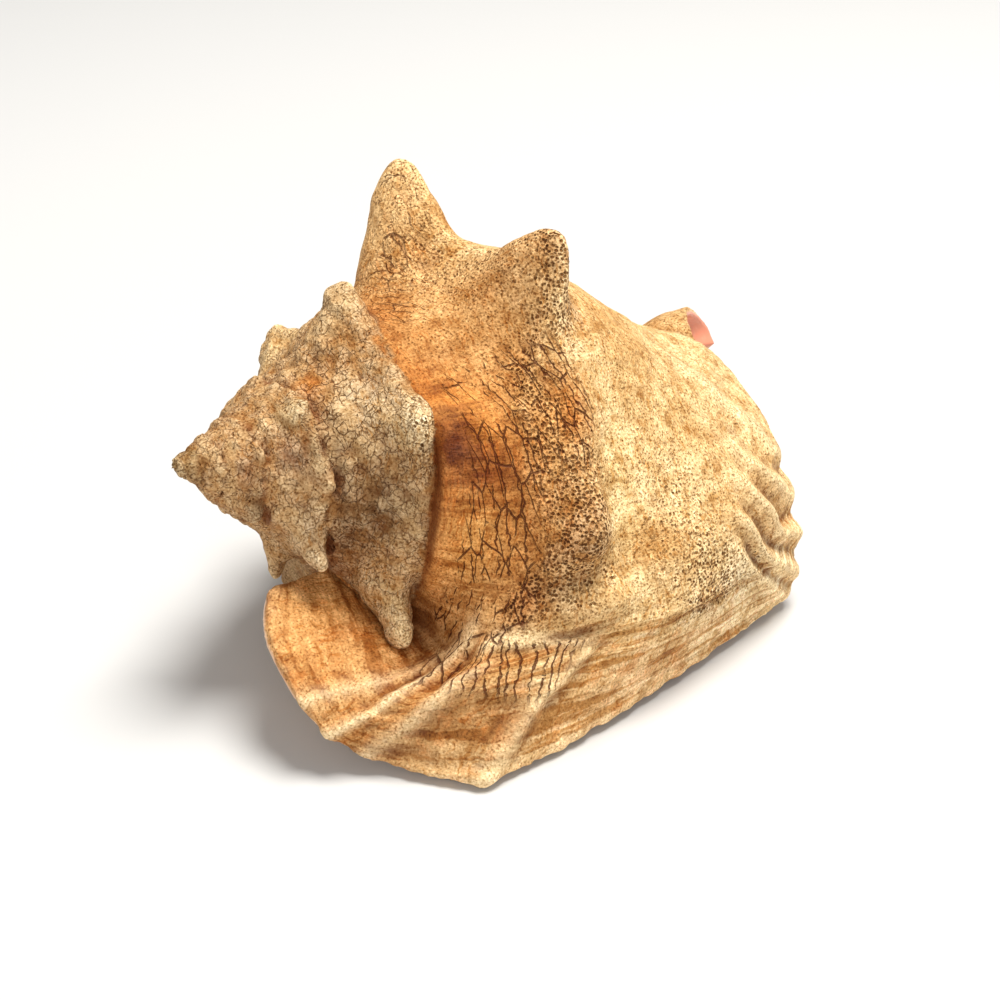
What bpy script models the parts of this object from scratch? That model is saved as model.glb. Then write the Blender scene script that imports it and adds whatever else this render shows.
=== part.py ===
"""Shell of a queen conch, grown as one piece and lying on its aperture.

The coil is a widening spiral of growth lines. Up to the last half turn the
growth lines follow from the shoulder track alone; the flared lip, the lobe on
the spire and the edge of the wing are set by six drawn growth lines. Spines
and knobs are raised out of the shoulder. The closed solid is fused from the
filled early coil, the wall of the last half turn, the columella and the
siphonal canal.
"""
import math

import bmesh
import bpy
import numpy as np
from mathutils import Matrix, Vector

# ---------------------------------------------------------------- dimensions
SIZE = 1.15                   # real size over the proportions below
WALL = 5.6                    # wall of the last whorl, mm before SIZE
LIP_EDGE = 3.4                # wall at the free edge of the lip, mm before SIZE
VOXEL = 0.0019                # m, grain of the fused solid
TRIANGLES = 9400              # faceted solid
AXIS_DIP = 14.8               # the apex is higher than the canal, degrees
AXIS_ROLL = 0.0               # turn about the coiling axis, degrees

# ---- growth of the shell, millimetres in the shell's own frame -------------
# u runs along the coiling axis from the apex, n points to the lip side,
# d to the back; an angle is measured from d towards n.
GROWTH = 1.67                 # size of a whorl over the one before it
# shoulder of the coil: angle, distance along the axis, radius
SHOULDER = np.array([
    (-2340, 1.6, 1.2), (-1800, 5.85, 4.2), (-1440, 9.8, 7.0), (-1080, 16.3, 11.8),
    (-900, 21.0, 15.6), (-720, 27.2, 20.4), (-620, 31.5, 23.6), (-540, 35.2, 25.6), (-440, 40.6, 31.0),
    (-370, 45.0, 34.8), (-325, 46.5, 38.8), (-290, 48.0, 42.5), (-255, 49.5, 42.5),
    (-229, 51.0, 40.5), (-190, 54.0, 42.5), (-150, 57.5, 46.5), (-115, 59.5, 44.0),
    (-80, 61.0, 41.5), (-45, 65.0, 41.5), (-14, 70.0, 52.5), (8, 75.0, 59.0),
    (25, 78.5, 62.0), (43, 80.0, 63.5)])
FLANK_U = np.array((10.5, 21, 32.5, 45, 58, 70, 82, 93))            # below the shoulder
FLANK_R = np.array((1.0, .968, .887, .79, .70, .63, .565, .49))
FLANK_TURN = np.array((0, 0, 0, 0, 0, -17, -30, -52.0))               # the front end trails the coil, degrees
RAMP_F = np.array((0, .19, .38, .58, .79, 1.0))

def polar(u, r, deg):
    a = math.radians(deg)
    return (u, r * math.sin(a), r * math.cos(a))

# growth lines of the last half turn (root, suture, ramp x4, shoulder, flank x8)
LINES = [
    (60, [polar(*p) for p in (
        (53, 38, 60), (49, 46, 60), (54.5, 49.5, 60), (60.5, 53, 60), (67, 57, 60), (73.5, 61, 59),
        (80.5, 64.5, 58), (90.5, 62.8, 58), (101, 60.5, 57), (114, 57.5, 56), (128, 54, 54),
        (142, 48.5, 50), (155, 42, 43), (167, 36, 30), (174, 31, 8))]),
    (88, [polar(*p) for p in (
        (52, 40, 92), (48.5, 48.5, 92), (53, 52, 92), (58.5, 55, 92), (65, 58.5, 91), (72, 62, 90),
        (81.5, 65.5, 87), (92, 66.5, 86), (105, 68.5, 85), (119, 69, 84), (133, 67, 82),
        (147, 62.5, 79), (159, 55, 73), (170, 43, 60), (175, 27, 20))]),
    (104, [polar(*p) for p in (
        (58, 38, 124), (56, 43, 122), (58, 48.5, 118), (59.5, 55.5, 112), (61.5, 62, 108), (68, 66.5, 104),
        (83, 71, 98), (95, 72.5, 95), (108, 74, 93), (122, 73.5, 91), (136, 70.5, 89),
        (149, 66, 87), (161, 57, 82), (171, 45, 70), (176, 25, 28))]),
    (114, [polar(*p) for p in (
        (58, 36, 142), (57, 40, 141), (59.5, 47, 135), (58.5, 57, 127), (57.5, 66.5, 119), (63, 70.5, 112),
        (83.5, 73.5, 105), (96.5, 76.5, 101), (109.5, 77.5, 99), (123.5, 75.5, 97), (137.5, 72, 95),
        (150.5, 67.5, 93), (161.8, 59, 88), (171.5, 45.5, 76), (176.5, 24, 36))]),
    (128, [polar(*p) for p in (
        (42, 29, 149), (41, 36, 142), (40.5, 47, 136), (37.5, 60, 131), (38.5, 71, 127), (49, 76.5, 120),
        (69, 80, 113), (85, 81.5, 110), (104, 81, 108), (122.5, 77.5, 106), (141.5, 73, 104),
        (157.5, 68.5, 101), (165.8, 60.5, 92), (172.5, 45, 79), (177, 23, 37))]),
    (140, [
        (29, 13, -31), (22.5, 19, -28.5), (17.5, 31, -35), (20, 45, -45.5), (27, 51.5, -54), (38, 60, -58),
        (55, 79, -55), (72, 79.3, -51), (97, 77.5, -44), (121, 73.5, -37.5), (146, 69, -30.5),
        (167.5, 64, -24.5), (171.5, 60, -7), (175.5, 43, 7), (177, 15, 19)]),
]
NCOL = 15
SHOULDER_COL = 6

# spines and knobs: angle, column, height, half width along the coil (deg),
# half width up the ramp and down the flank (columns), lean along the axis, flatness of the tip, share of the blunt part
SPINES = [
    (-1020, 6, 2.0, 13, 1.4, 1.4, 0, 1.7, .55), (-950, 6, 3.2, 13, 1.4, 1.4, 0, 1.7, .55),
    (-880, 6, 3.0, 13, 1.4, 1.4, 0, 1.7, .55), (-815, 6, 3.4, 13, 1.4, 1.4, 0, 1.7, .55),
    (-745, 5.9, 2.4, 13, 1.5, 1.4, 0, 1.7, .55), (-688, 5.6, 4.6, 11, 1.5, 1.4, 0, 1.8, .55),
    (-640, 6, 3.6, 11, 1.5, 1.4, 0, 1.8, .55), (-594, 5.8, 9.0, 12, 1.7, 1.4, 0, 2.6, .66),
    (-545, 6, 8.5, 8, 1.5, 1.3, 0, 2.0, .6), (-500, 6, 8.0, 10, 1.5, 1.3, 0, 2.0, .6),
    (-408, 5.5, 7.6, 11, 1.5, 1.4, 0, 2.6, .7), (-364, 5.8, 12.5, 15, 2.0, 1.5, -.05, 1.9, .4),
    (-305, 5.5, 6.5, 12, 1.3, 1.2, -.1, 2.2, .55), (-231, 5.75, 15.5, 9.5, 1.25, 1.1, 0.0, 3.0, .72),
    (-150, 6.2, 18, 13, 1.6, 1.4, .30, 1.8, .55), (-80, 6, 9, 12, 1.6, 1.4, 0, 2.2, .55),
    (-16, 5.7, 28.0, 16.5, 2.3, 1.45, -.08, 3.2, .66), (25, 6.0, 17, 12, 1.9, 0.9, .02, 2.2, .6),
    (84.5, 5.8, 8.5, 12, 1.4, 1.1, 0, 2.0, .5), (107, 6.1, 4.0, 6.5, 1.0, .9, 0, 1.8, .5)]

def hermite(ts, P, x):
    """smooth curve through rows P at the knots ts"""
    ts = np.asarray(ts, float); P = np.asarray(P, float); n = len(ts)
    m = np.zeros_like(P)
    m[0] = (P[1] - P[0]) / (ts[1] - ts[0]); m[-1] = (P[-1] - P[-2]) / (ts[-1] - ts[-2])
    for i in range(1, n - 1):
        h0 = ts[i] - ts[i-1]; h1 = ts[i+1] - ts[i]
        m[i] = ((P[i] - P[i-1]) / h0 * h1 + (P[i+1] - P[i]) / h1 * h0) / (h0 + h1)
    x = np.clip(np.asarray(x, float), ts[0], ts[-1])
    i = np.clip(np.searchsorted(ts, x, side='right') - 1, 0, n - 2)
    h = ts[i+1] - ts[i]; f = (x - ts[i]) / h
    sh = (slice(None),) + (None,) * (P.ndim - 1)
    f = f[sh]; h = h[sh]
    return ((2*f**3 - 3*f**2 + 1) * P[i] + (f**3 - 2*f**2 + f) * h * m[i]
            + (-2*f**3 + 3*f**2) * P[i+1] + (f**3 - f**2) * h * m[i+1])

def shoulder(deg):
    return np.exp(hermite(SHOULDER[:, 0], np.log(SHOULDER[:, 1:]), np.atleast_1d(deg)))[0]

def section(deg):
    """growth line of the regular coil at this angle"""
    u, r = shoulder(deg)
    us, rs = shoulder(deg - 360)
    us += 0.012 * us; rs *= 1.0
    ramp_u = us + (u - us) * RAMP_F
    dip = 0.045 + 0.06 * min(1.0, max(0.0, (-160 - deg) / 60))
    ramp_r = rs + (r - rs) * RAMP_F - dip * (u - us + r - rs) * np.sin(np.pi * RAMP_F)
    size = GROWTH ** ((deg - 20) / 360.0)
    U = np.concatenate([[us + 0.08 * us], ramp_u, u + FLANK_U * size])
    R = np.concatenate([[rs * 0.80], ramp_r, r * FLANK_R])
    late = min(1.0, max(0.0, (deg + 40) / 100))
    a = np.full(len(U), float(deg)); a[-8:] += FLANK_TURN * late * late * (3 - 2 * late)
    a = np.radians(a)
    return np.stack([U, R * np.sin(a), R * np.cos(a)], 1)

def across(P, x):
    """smooth curve through a row of points, uniform columns"""
    n = len(P); x = np.clip(np.asarray(x, float), 0, n - 1 - 1e-9)
    i = np.floor(x).astype(int); f = (x - i)[:, None]
    a = P[np.maximum(i-1, 0)]; b = P[i]; c = P[np.minimum(i+1, n-1)]; d = P[np.minimum(i+2, n-1)]
    return 0.5 * (2*b + (c - a) * f + (2*a - 5*b + 4*c - d) * f**2 + (3*b - a - 3*c + d) * f**3)

def surface(angles, cols, spines=True):
    """points of the outer surface, rows = angles, columns = cols"""
    angles = np.asarray(angles, float); cols = np.asarray(cols, float)
    knots = [0, 20, 40] + [l[0] for l in LINES]
    rows = np.array([section(k) for k in knots[:3]] + [np.array(l[1], float) for l in LINES])
    net = np.zeros((len(angles), NCOL, 3)); early = angles <= 20
    for i in np.where(early)[0]:
        net[i] = section(angles[i])
    if (~early).any():
        net[~early] = hermite(knots, rows, angles[~early])
    P = np.stack([across(r, cols) for r in net])
    if not spines:
        return P
    A, C = np.meshgrid(angles, cols, indexing='ij')
    for (a0, c0, h, wa, wup, wdn, lean, flat, blunt) in SPINES:
        if a0 < angles[0] - 40 or a0 > angles[-1] + 40:
            continue
        w = np.where(C < c0, wup, wdn)
        r = np.sqrt(((A - a0) / wa)**2 + ((C - c0) / w)**2)
        g = h * (blunt * np.exp(-(r / 0.75)**(flat*1.25)) + (1 - blunt) * np.exp(-r**1.5))
        c = across(net_row(a0, knots, rows), [c0])[0]
        rr = math.hypot(c[1], c[2])
        v = np.array([lean, c[1] / rr, c[2] / rr]); v /= np.linalg.norm(v)
        P = P + g[..., None] * v
    return P

def net_row(a, knots, rows):
    return section(a) if a <= 20 else hermite(knots, rows, [a])[0]


# ------------------------------------------------------------------- meshes
def placed(P):
    """shell frame in mm to the part's frame in metres, not yet on the ground"""
    P = np.asarray(P, float)
    b = math.radians(AXIS_DIP)
    a = np.array((math.cos(b), 0, -math.sin(b)))
    d = np.array((math.sin(b), 0, math.cos(b)))
    n = np.array((0, -1.0, 0))
    c, s = math.cos(math.radians(AXIS_ROLL)), math.sin(math.radians(AXIS_ROLL))
    d, n = c * d + s * n, -s * d + c * n
    return (P[..., 0:1] * a + P[..., 1:2] * n + P[..., 2:3] * d) * (SIZE / 1000.0)


def new_object(name, points, faces, collection):
    mesh = bpy.data.meshes.new(name)
    mesh.from_pydata([tuple(p) for p in points], [], faces)
    mesh.validate()
    obj = bpy.data.objects.new(name, mesh)
    collection.objects.link(obj)
    return obj


def grid_faces(rows, cols, ring):
    """quads of a grid of points; ring joins the last column to the first"""
    faces = []
    last = cols if ring else cols - 1
    for i in range(rows - 1):
        for j in range(last):
            k = (j + 1) % cols
            faces.append((i * cols + j, i * cols + k, (i + 1) * cols + k, (i + 1) * cols + j))
    return faces


def outward(obj):
    bm = bmesh.new()
    bm.from_mesh(obj.data)
    bmesh.ops.remove_doubles(bm, verts=bm.verts, dist=1e-6)
    bmesh.ops.recalc_face_normals(bm, faces=bm.faces)
    bm.to_mesh(obj.data)
    bm.free()


def filled_coil(collection, step, cols):
    """the early coil, filled to its axis"""
    angles = np.concatenate([np.arange(-2340, -760, 6 * step), np.arange(-760, CORE_END + 0.1, 3 * step)])
    if angles[-1] < CORE_END:
        angles = np.append(angles, CORE_END)
    P = surface(angles, np.linspace(1, NCOL - 1, cols))
    lo = P[:, :1].copy(); lo[..., 1:] = 0; lo[..., 0] += 0.01
    end = P[:, -1:]
    nose = []
    for along, out in NOSE:
        q = end.copy(); q[..., 0] += along * np.hypot(end[..., 1], end[..., 2]); q[..., 1:] *= out
        nose.append(q)
    ring = np.concatenate([P] + nose + [lo], axis=1)
    rows, n = ring.shape[:2]
    faces = grid_faces(rows, n, True)
    faces.append(tuple(range(n)))
    faces.append(tuple((rows - 1) * n + j for j in reversed(range(n))))
    obj = new_object("coil", placed(ring).reshape(-1, 3), faces, collection)
    return obj


def inward(P, thick, rounds):
    """the surface moved into the shell by its thickness and evened out"""
    du = np.gradient(P, axis=0)
    dc = np.gradient(P, axis=1)
    N = np.cross(du, dc)
    N /= np.linalg.norm(N, axis=2, keepdims=True)
    if (N[..., 1:] * P[..., 1:]).sum() < 0:
        N = -N
    Q = P - N * thick[..., None]
    for _ in range(rounds):
        Q[1:-1, 1:-1] += 0.5 * ((Q[2:, 1:-1] + Q[:-2, 1:-1] + Q[1:-1, 2:] + Q[1:-1, :-2]) / 4 - Q[1:-1, 1:-1])
    return Q


def last_wall(collection, step, cols):
    """wall of the last half turn with the flared lip; its spines are solid"""
    angles = np.arange(CORE_END - 50, 140.01, 2 * step)
    if angles[-1] < 140:
        angles = np.append(angles, 140.0)
    c = np.linspace(0, NCOL - 1, cols)
    outer = surface(angles, c)
    A, C = np.meshgrid(angles, c, indexing='ij')
    edge = np.minimum(np.minimum(1.0, (140 - A) / 26.0), 0.25 + (NCOL - 1 - C) / 1.6)
    thick = LIP_EDGE + (WALL - LIP_EDGE) * np.sin(np.clip(edge, 0, 1) * math.pi / 2)
    inner = inward(surface(angles, c, spines=False), thick, 14)
    rows, n = outer.shape[:2]
    faces = grid_faces(rows, n, False)
    k = rows * n
    faces += [tuple(v + k for v in reversed(f)) for f in faces]
    rim = [(0, j) for j in range(n)] + [(i, n - 1) for i in range(1, rows)]
    rim += [(rows - 1, j) for j in reversed(range(n - 1))] + [(i, 0) for i in reversed(range(1, rows - 1))]
    rim = [i * n + j for i, j in rim]
    for a, b in zip(rim, rim[1:] + rim[:1]):
        faces.append((b, a, a + k, b + k))
    points = np.concatenate([placed(outer).reshape(-1, 3), placed(inner).reshape(-1, 3)])
    return new_object("wall", points, faces, collection)


def tube(collection, name, line, radii, sides=28, squash=1.0):
    """closed pillar round a smooth line in the shell frame"""
    t = np.linspace(0, 1, 30)
    k = np.linspace(0, 1, len(line))
    L = hermite(k, np.array(line, float), t)
    R = hermite(k, np.array(radii, float)[:, None], t)[:, 0]
    T = np.gradient(L, axis=0); T /= np.linalg.norm(T, axis=1, keepdims=True)
    side = np.cross(T, (0, 1.0, 0)); side /= np.linalg.norm(side, axis=1, keepdims=True)
    up = np.cross(side, T)
    w = np.linspace(0, 2 * math.pi, sides, endpoint=False)
    P = (L[:, None] + R[:, None, None] * (np.cos(w)[None, :, None] * side[:, None]
                                          + np.sin(w)[None, :, None] * up[:, None] * squash))
    faces = grid_faces(len(t), sides, True)
    faces.append(tuple(range(sides)))
    faces.append(tuple((len(t) - 1) * sides + j for j in reversed(range(sides))))
    return new_object(name, placed(P).reshape(-1, 3), faces, collection)


def gutter_points(rows=44, cols=44):
    """open channel of the siphonal canal, curled up at its tip; the near side is the shorter"""
    w = np.radians(np.linspace(CANAL_WRAP[0], -CANAL_WRAP[1], cols))
    k = np.linspace(0, 1, len(CANAL_LINE))
    f = np.linspace(0, 1, cols)
    g = np.minimum(1.0, 1.15 * f)
    reach = CANAL_NEAR + (1 - CANAL_NEAR) * (g * g * (3 - 2 * g))
    P = np.zeros((rows, cols, 3))
    for j in range(cols):
        t = np.linspace(0, reach[j], rows)
        L = hermite(k, np.array(CANAL_LINE, float), t)
        R = hermite(k, np.array(CANAL_RADIUS, float)[:, None], t)
        O = hermite(k, np.array(CANAL_OPENS, float), t)
        T = hermite(k, np.array(CANAL_LINE, float), t + 0.01) - hermite(k, np.array(CANAL_LINE, float), t - 0.01)
        T /= np.linalg.norm(T, axis=1, keepdims=True)
        O = O - (O * T).sum(1, keepdims=True) * T
        O /= np.linalg.norm(O, axis=1, keepdims=True)
        B = np.cross(T, O)
        P[:, j] = L + R * (-math.cos(w[j]) * O + math.sin(w[j]) * B)
    return P


def canal(collection):
    P = gutter_points()
    rows, cols = P.shape[:2]
    obj = new_object("canal", placed(P).reshape(-1, 3), grid_faces(rows, cols, False), collection)
    solid = obj.modifiers.new("wall", 'SOLIDIFY')
    solid.thickness = CANAL_WALL * SIZE / 1000.0
    solid.offset = 0.0
    return obj


def flattened(obj):
    """the object's mesh as its modifiers leave it"""
    dg = bpy.context.evaluated_depsgraph_get()
    dg.update()
    return bpy.data.meshes.new_from_object(obj.evaluated_get(dg))


def largest_body(mesh):
    """keeps the outer skin and drops any loose crumb"""
    bm = bmesh.new()
    bm.from_mesh(mesh)
    left = set(bm.verts)
    bodies = []
    while left:
        seed = left.pop()
        body, stack = {seed}, [seed]
        while stack:
            v = stack.pop()
            for e in v.link_edges:
                o = e.other_vert(v)
                if o in left:
                    left.discard(o)
                    body.add(o)
                    stack.append(o)
        bodies.append(body)
    bodies.sort(key=len)
    for body in bodies[:-1]:
        bmesh.ops.delete(bm, geom=list(body), context='VERTS')
    bm.to_mesh(mesh)
    bm.free()
    return len(bodies)


# growth to where the coil is filled, and the parts that close the front
CORE_END = -110.0
NOSE = ((.16, .93), (.36, .78), (.55, .55), (.62, .25), (.63, 0.0))   # blunt end of the filled coil
PILLAR_LINE = [(80, 0, 0), (105, 0, -1), (128, 0, 1), (148, -1, 7), (166, -4, 15)]
PILLAR_RADIUS = [23, 22, 19, 15, 10.5]
CANAL_LINE = [(138, 0, 9), (150, 0, 14), (162, -2, 20), (172, -5, 26.5), (182, -7, 30), (195.5, -9, 31.6)]
CANAL_RADIUS = [18, 16, 13.5, 11, 8.8, 8.2]
CANAL_OPENS = [(0, .15, -1), (.1, .15, -1), (.3, .2, -1), (.5, .3, -.8), (.8, .3, -.7), (1.0, .3, -.7)]
CANAL_WRAP = (100, 118)
CANAL_WALL = 3.2
CANAL_NEAR = 0.51


def build():
    for obj in list(bpy.data.objects):
        bpy.data.objects.remove(obj, do_unlink=True)
    scene = bpy.context.scene
    part = bpy.data.collections.new("queen_conch_shell")
    scene.collection.children.link(part)
    guides = bpy.data.collections.new("guides")
    scene.collection.children.link(guides)

    pieces = [filled_coil(guides, 1.0, 60), last_wall(guides, 1.0, 110),
              tube(guides, "pillar", PILLAR_LINE, PILLAR_RADIUS), canal(guides)]
    bm = bmesh.new()
    for piece in pieces:
        outward(piece)
        mesh = flattened(piece)
        bm.from_mesh(mesh)
        bpy.data.objects.remove(piece, do_unlink=True)
    soup = bpy.data.meshes.new("soup")
    bm.to_mesh(soup)
    bm.free()

    raw = bpy.data.objects.new("raw", soup)
    guides.objects.link(raw)
    fuse = raw.modifiers.new("fuse", 'REMESH')
    fuse.mode = 'VOXEL'
    fuse.voxel_size = VOXEL
    fuse.use_smooth_shade = True
    mesh = flattened(raw)
    largest_body(mesh)
    raw.modifiers.clear()
    raw.data = mesh
    faces = sum(len(p.vertices) - 2 for p in mesh.polygons)
    thin = raw.modifiers.new("thin", 'DECIMATE')
    thin.ratio = TRIANGLES / faces
    thin.use_collapse_triangulate = True
    mesh = flattened(raw)
    bpy.data.objects.remove(raw, do_unlink=True)
    return mesh, part, guides


def conch_material():
    material = bpy.data.materials.new("aged_shell")
    material.use_nodes = True
    shader = material.node_tree.nodes["Principled BSDF"]
    shader.inputs["Base Color"].default_value = (0.72, 0.46, 0.22, 1.0)
    shader.inputs["Roughness"].default_value = 0.62
    shader.inputs["Metallic"].default_value = 0.0
    return material


def main():
    mesh, part, guides = build()
    mesh.name = "conch_shell"
    shell = bpy.data.objects.new("conch_shell", mesh)
    part.objects.link(shell)
    co = np.array([v.co for v in mesh.vertices])
    lo, hi = co.min(axis=0), co.max(axis=0)
    shift = Vector((-(lo[0] + hi[0]) / 2, -(lo[1] + hi[1]) / 2, -lo[2]))
    mesh.transform(Matrix.Translation(shift))
    mesh.materials.clear()
    mesh.materials.append(conch_material())
    for polygon in mesh.polygons:
        polygon.material_index = 0
        polygon.use_smooth = True
    bpy.data.collections.remove(guides)
    return shell


main()
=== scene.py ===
import math

import bmesh
import bpy
import numpy as np
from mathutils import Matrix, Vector
from mathutils.bvhtree import BVHTree


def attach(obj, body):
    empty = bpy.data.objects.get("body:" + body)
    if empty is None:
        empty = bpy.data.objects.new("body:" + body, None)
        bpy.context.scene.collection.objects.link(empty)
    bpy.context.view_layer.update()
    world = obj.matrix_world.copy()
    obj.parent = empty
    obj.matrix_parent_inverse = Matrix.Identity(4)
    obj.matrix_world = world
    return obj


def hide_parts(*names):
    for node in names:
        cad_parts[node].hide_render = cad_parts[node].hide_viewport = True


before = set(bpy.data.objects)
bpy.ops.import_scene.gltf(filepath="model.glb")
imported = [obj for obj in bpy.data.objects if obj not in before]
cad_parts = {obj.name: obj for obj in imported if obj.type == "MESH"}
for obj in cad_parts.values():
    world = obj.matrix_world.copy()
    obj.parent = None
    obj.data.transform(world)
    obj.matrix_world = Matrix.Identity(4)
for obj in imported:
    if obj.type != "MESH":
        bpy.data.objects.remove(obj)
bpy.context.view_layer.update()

# ---------------------------------------------------------------- dimensions
SIZE = 1.15                   # real size over the proportions below
WALL = 5.6                    # wall of the last whorl, mm before SIZE
LIP_EDGE = 3.4                # wall at the free edge of the lip, mm before SIZE
VOXEL = 0.00078               # m, grain of the fused surface
TRIANGLES = 194000            # visible surface
AXIS_DIP = 14.8               # the apex is higher than the canal, degrees
AXIS_ROLL = 0.0               # turn about the coiling axis, degrees
GROUND = (-0.11328, 0.01735, 0.08014)   # from the apex's frame to the frame on the floor, m

# ---- growth of the shell, millimetres in the shell's own frame -------------
# u runs along the coiling axis from the apex, n points to the lip side,
# d to the back; an angle is measured from d towards n.
GROWTH = 1.67                 # size of a whorl over the one before it
# shoulder of the coil: angle, distance along the axis, radius
SHOULDER = np.array([
    (-2340, 1.6, 1.2), (-1800, 5.85, 4.2), (-1440, 9.8, 7.0), (-1080, 16.3, 11.8),
    (-900, 21.0, 15.6), (-720, 27.2, 20.4), (-620, 31.5, 23.6), (-540, 35.2, 25.6), (-440, 40.6, 31.0),
    (-370, 45.0, 34.8), (-325, 46.5, 38.8), (-290, 48.0, 42.5), (-255, 49.5, 42.5),
    (-229, 51.0, 40.5), (-190, 54.0, 42.5), (-150, 57.5, 46.5), (-115, 59.5, 44.0),
    (-80, 61.0, 41.5), (-45, 65.0, 41.5), (-14, 70.0, 52.5), (8, 75.0, 59.0),
    (25, 78.5, 62.0), (43, 80.0, 63.5)])
FLANK_U = np.array((10.5, 21, 32.5, 45, 58, 70, 82, 93))            # below the shoulder
FLANK_R = np.array((1.0, .968, .887, .79, .70, .63, .565, .49))
FLANK_TURN = np.array((0, 0, 0, 0, 0, -17, -30, -52.0))               # the front end trails the coil, degrees
RAMP_F = np.array((0, .19, .38, .58, .79, 1.0))

def polar(u, r, deg):
    a = math.radians(deg)
    return (u, r * math.sin(a), r * math.cos(a))

# growth lines of the last half turn (root, suture, ramp x4, shoulder, flank x8)
LINES = [
    (60, [polar(*p) for p in (
        (53, 38, 60), (49, 46, 60), (54.5, 49.5, 60), (60.5, 53, 60), (67, 57, 60), (73.5, 61, 59),
        (80.5, 64.5, 58), (90.5, 62.8, 58), (101, 60.5, 57), (114, 57.5, 56), (128, 54, 54),
        (142, 48.5, 50), (155, 42, 43), (167, 36, 30), (174, 31, 8))]),
    (88, [polar(*p) for p in (
        (52, 40, 92), (48.5, 48.5, 92), (53, 52, 92), (58.5, 55, 92), (65, 58.5, 91), (72, 62, 90),
        (81.5, 65.5, 87), (92, 66.5, 86), (105, 68.5, 85), (119, 69, 84), (133, 67, 82),
        (147, 62.5, 79), (159, 55, 73), (170, 43, 60), (175, 27, 20))]),
    (104, [polar(*p) for p in (
        (58, 38, 124), (56, 43, 122), (58, 48.5, 118), (59.5, 55.5, 112), (61.5, 62, 108), (68, 66.5, 104),
        (83, 71, 98), (95, 72.5, 95), (108, 74, 93), (122, 73.5, 91), (136, 70.5, 89),
        (149, 66, 87), (161, 57, 82), (171, 45, 70), (176, 25, 28))]),
    (114, [polar(*p) for p in (
        (58, 36, 142), (57, 40, 141), (59.5, 47, 135), (58.5, 57, 127), (57.5, 66.5, 119), (63, 70.5, 112),
        (83.5, 73.5, 105), (96.5, 76.5, 101), (109.5, 77.5, 99), (123.5, 75.5, 97), (137.5, 72, 95),
        (150.5, 67.5, 93), (161.8, 59, 88), (171.5, 45.5, 76), (176.5, 24, 36))]),
    (128, [polar(*p) for p in (
        (42, 29, 149), (41, 36, 142), (40.5, 47, 136), (37.5, 60, 131), (38.5, 71, 127), (49, 76.5, 120),
        (69, 80, 113), (85, 81.5, 110), (104, 81, 108), (122.5, 77.5, 106), (141.5, 73, 104),
        (157.5, 68.5, 101), (165.8, 60.5, 92), (172.5, 45, 79), (177, 23, 37))]),
    (140, [
        (29, 13, -31), (22.5, 19, -28.5), (17.5, 31, -35), (20, 45, -45.5), (27, 51.5, -54), (38, 60, -58),
        (55, 79, -55), (72, 79.3, -51), (97, 77.5, -44), (121, 73.5, -37.5), (146, 69, -30.5),
        (167.5, 64, -24.5), (171.5, 60, -7), (175.5, 43, 7), (177, 15, 19)]),
]
NCOL = 15
SHOULDER_COL = 6

# spines and knobs: angle, column, height, half width along the coil (deg),
# half width up the ramp and down the flank (columns), lean along the axis, flatness of the tip, share of the blunt part
SPINES = [
    (-1020, 6, 2.0, 13, 1.4, 1.4, 0, 1.7, .55), (-950, 6, 3.2, 13, 1.4, 1.4, 0, 1.7, .55),
    (-880, 6, 3.0, 13, 1.4, 1.4, 0, 1.7, .55), (-815, 6, 3.4, 13, 1.4, 1.4, 0, 1.7, .55),
    (-745, 5.9, 2.4, 13, 1.5, 1.4, 0, 1.7, .55), (-688, 5.6, 4.6, 11, 1.5, 1.4, 0, 1.8, .55),
    (-640, 6, 3.6, 11, 1.5, 1.4, 0, 1.8, .55), (-594, 5.8, 9.0, 12, 1.7, 1.4, 0, 2.6, .66),
    (-545, 6, 8.5, 8, 1.5, 1.3, 0, 2.0, .6), (-500, 6, 8.0, 10, 1.5, 1.3, 0, 2.0, .6),
    (-408, 5.5, 7.6, 11, 1.5, 1.4, 0, 2.6, .7), (-364, 5.8, 12.5, 15, 2.0, 1.5, -.05, 1.9, .4),
    (-305, 5.5, 6.5, 12, 1.3, 1.2, -.1, 2.2, .55), (-231, 5.75, 15.5, 9.5, 1.25, 1.1, 0.0, 3.0, .72),
    (-150, 6.2, 18, 13, 1.6, 1.4, .30, 1.8, .55), (-80, 6, 9, 12, 1.6, 1.4, 0, 2.2, .55),
    (-16, 5.7, 28.0, 16.5, 2.3, 1.45, -.08, 3.2, .66), (25, 6.0, 17, 12, 1.9, 0.9, .02, 2.2, .6),
    (84.5, 5.8, 8.5, 12, 1.4, 1.1, 0, 2.0, .5), (107, 6.1, 4.0, 6.5, 1.0, .9, 0, 1.8, .5)]

def hermite(ts, P, x):
    """smooth curve through rows P at the knots ts"""
    ts = np.asarray(ts, float); P = np.asarray(P, float); n = len(ts)
    m = np.zeros_like(P)
    m[0] = (P[1] - P[0]) / (ts[1] - ts[0]); m[-1] = (P[-1] - P[-2]) / (ts[-1] - ts[-2])
    for i in range(1, n - 1):
        h0 = ts[i] - ts[i-1]; h1 = ts[i+1] - ts[i]
        m[i] = ((P[i] - P[i-1]) / h0 * h1 + (P[i+1] - P[i]) / h1 * h0) / (h0 + h1)
    x = np.clip(np.asarray(x, float), ts[0], ts[-1])
    i = np.clip(np.searchsorted(ts, x, side='right') - 1, 0, n - 2)
    h = ts[i+1] - ts[i]; f = (x - ts[i]) / h
    sh = (slice(None),) + (None,) * (P.ndim - 1)
    f = f[sh]; h = h[sh]
    return ((2*f**3 - 3*f**2 + 1) * P[i] + (f**3 - 2*f**2 + f) * h * m[i]
            + (-2*f**3 + 3*f**2) * P[i+1] + (f**3 - f**2) * h * m[i+1])

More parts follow.
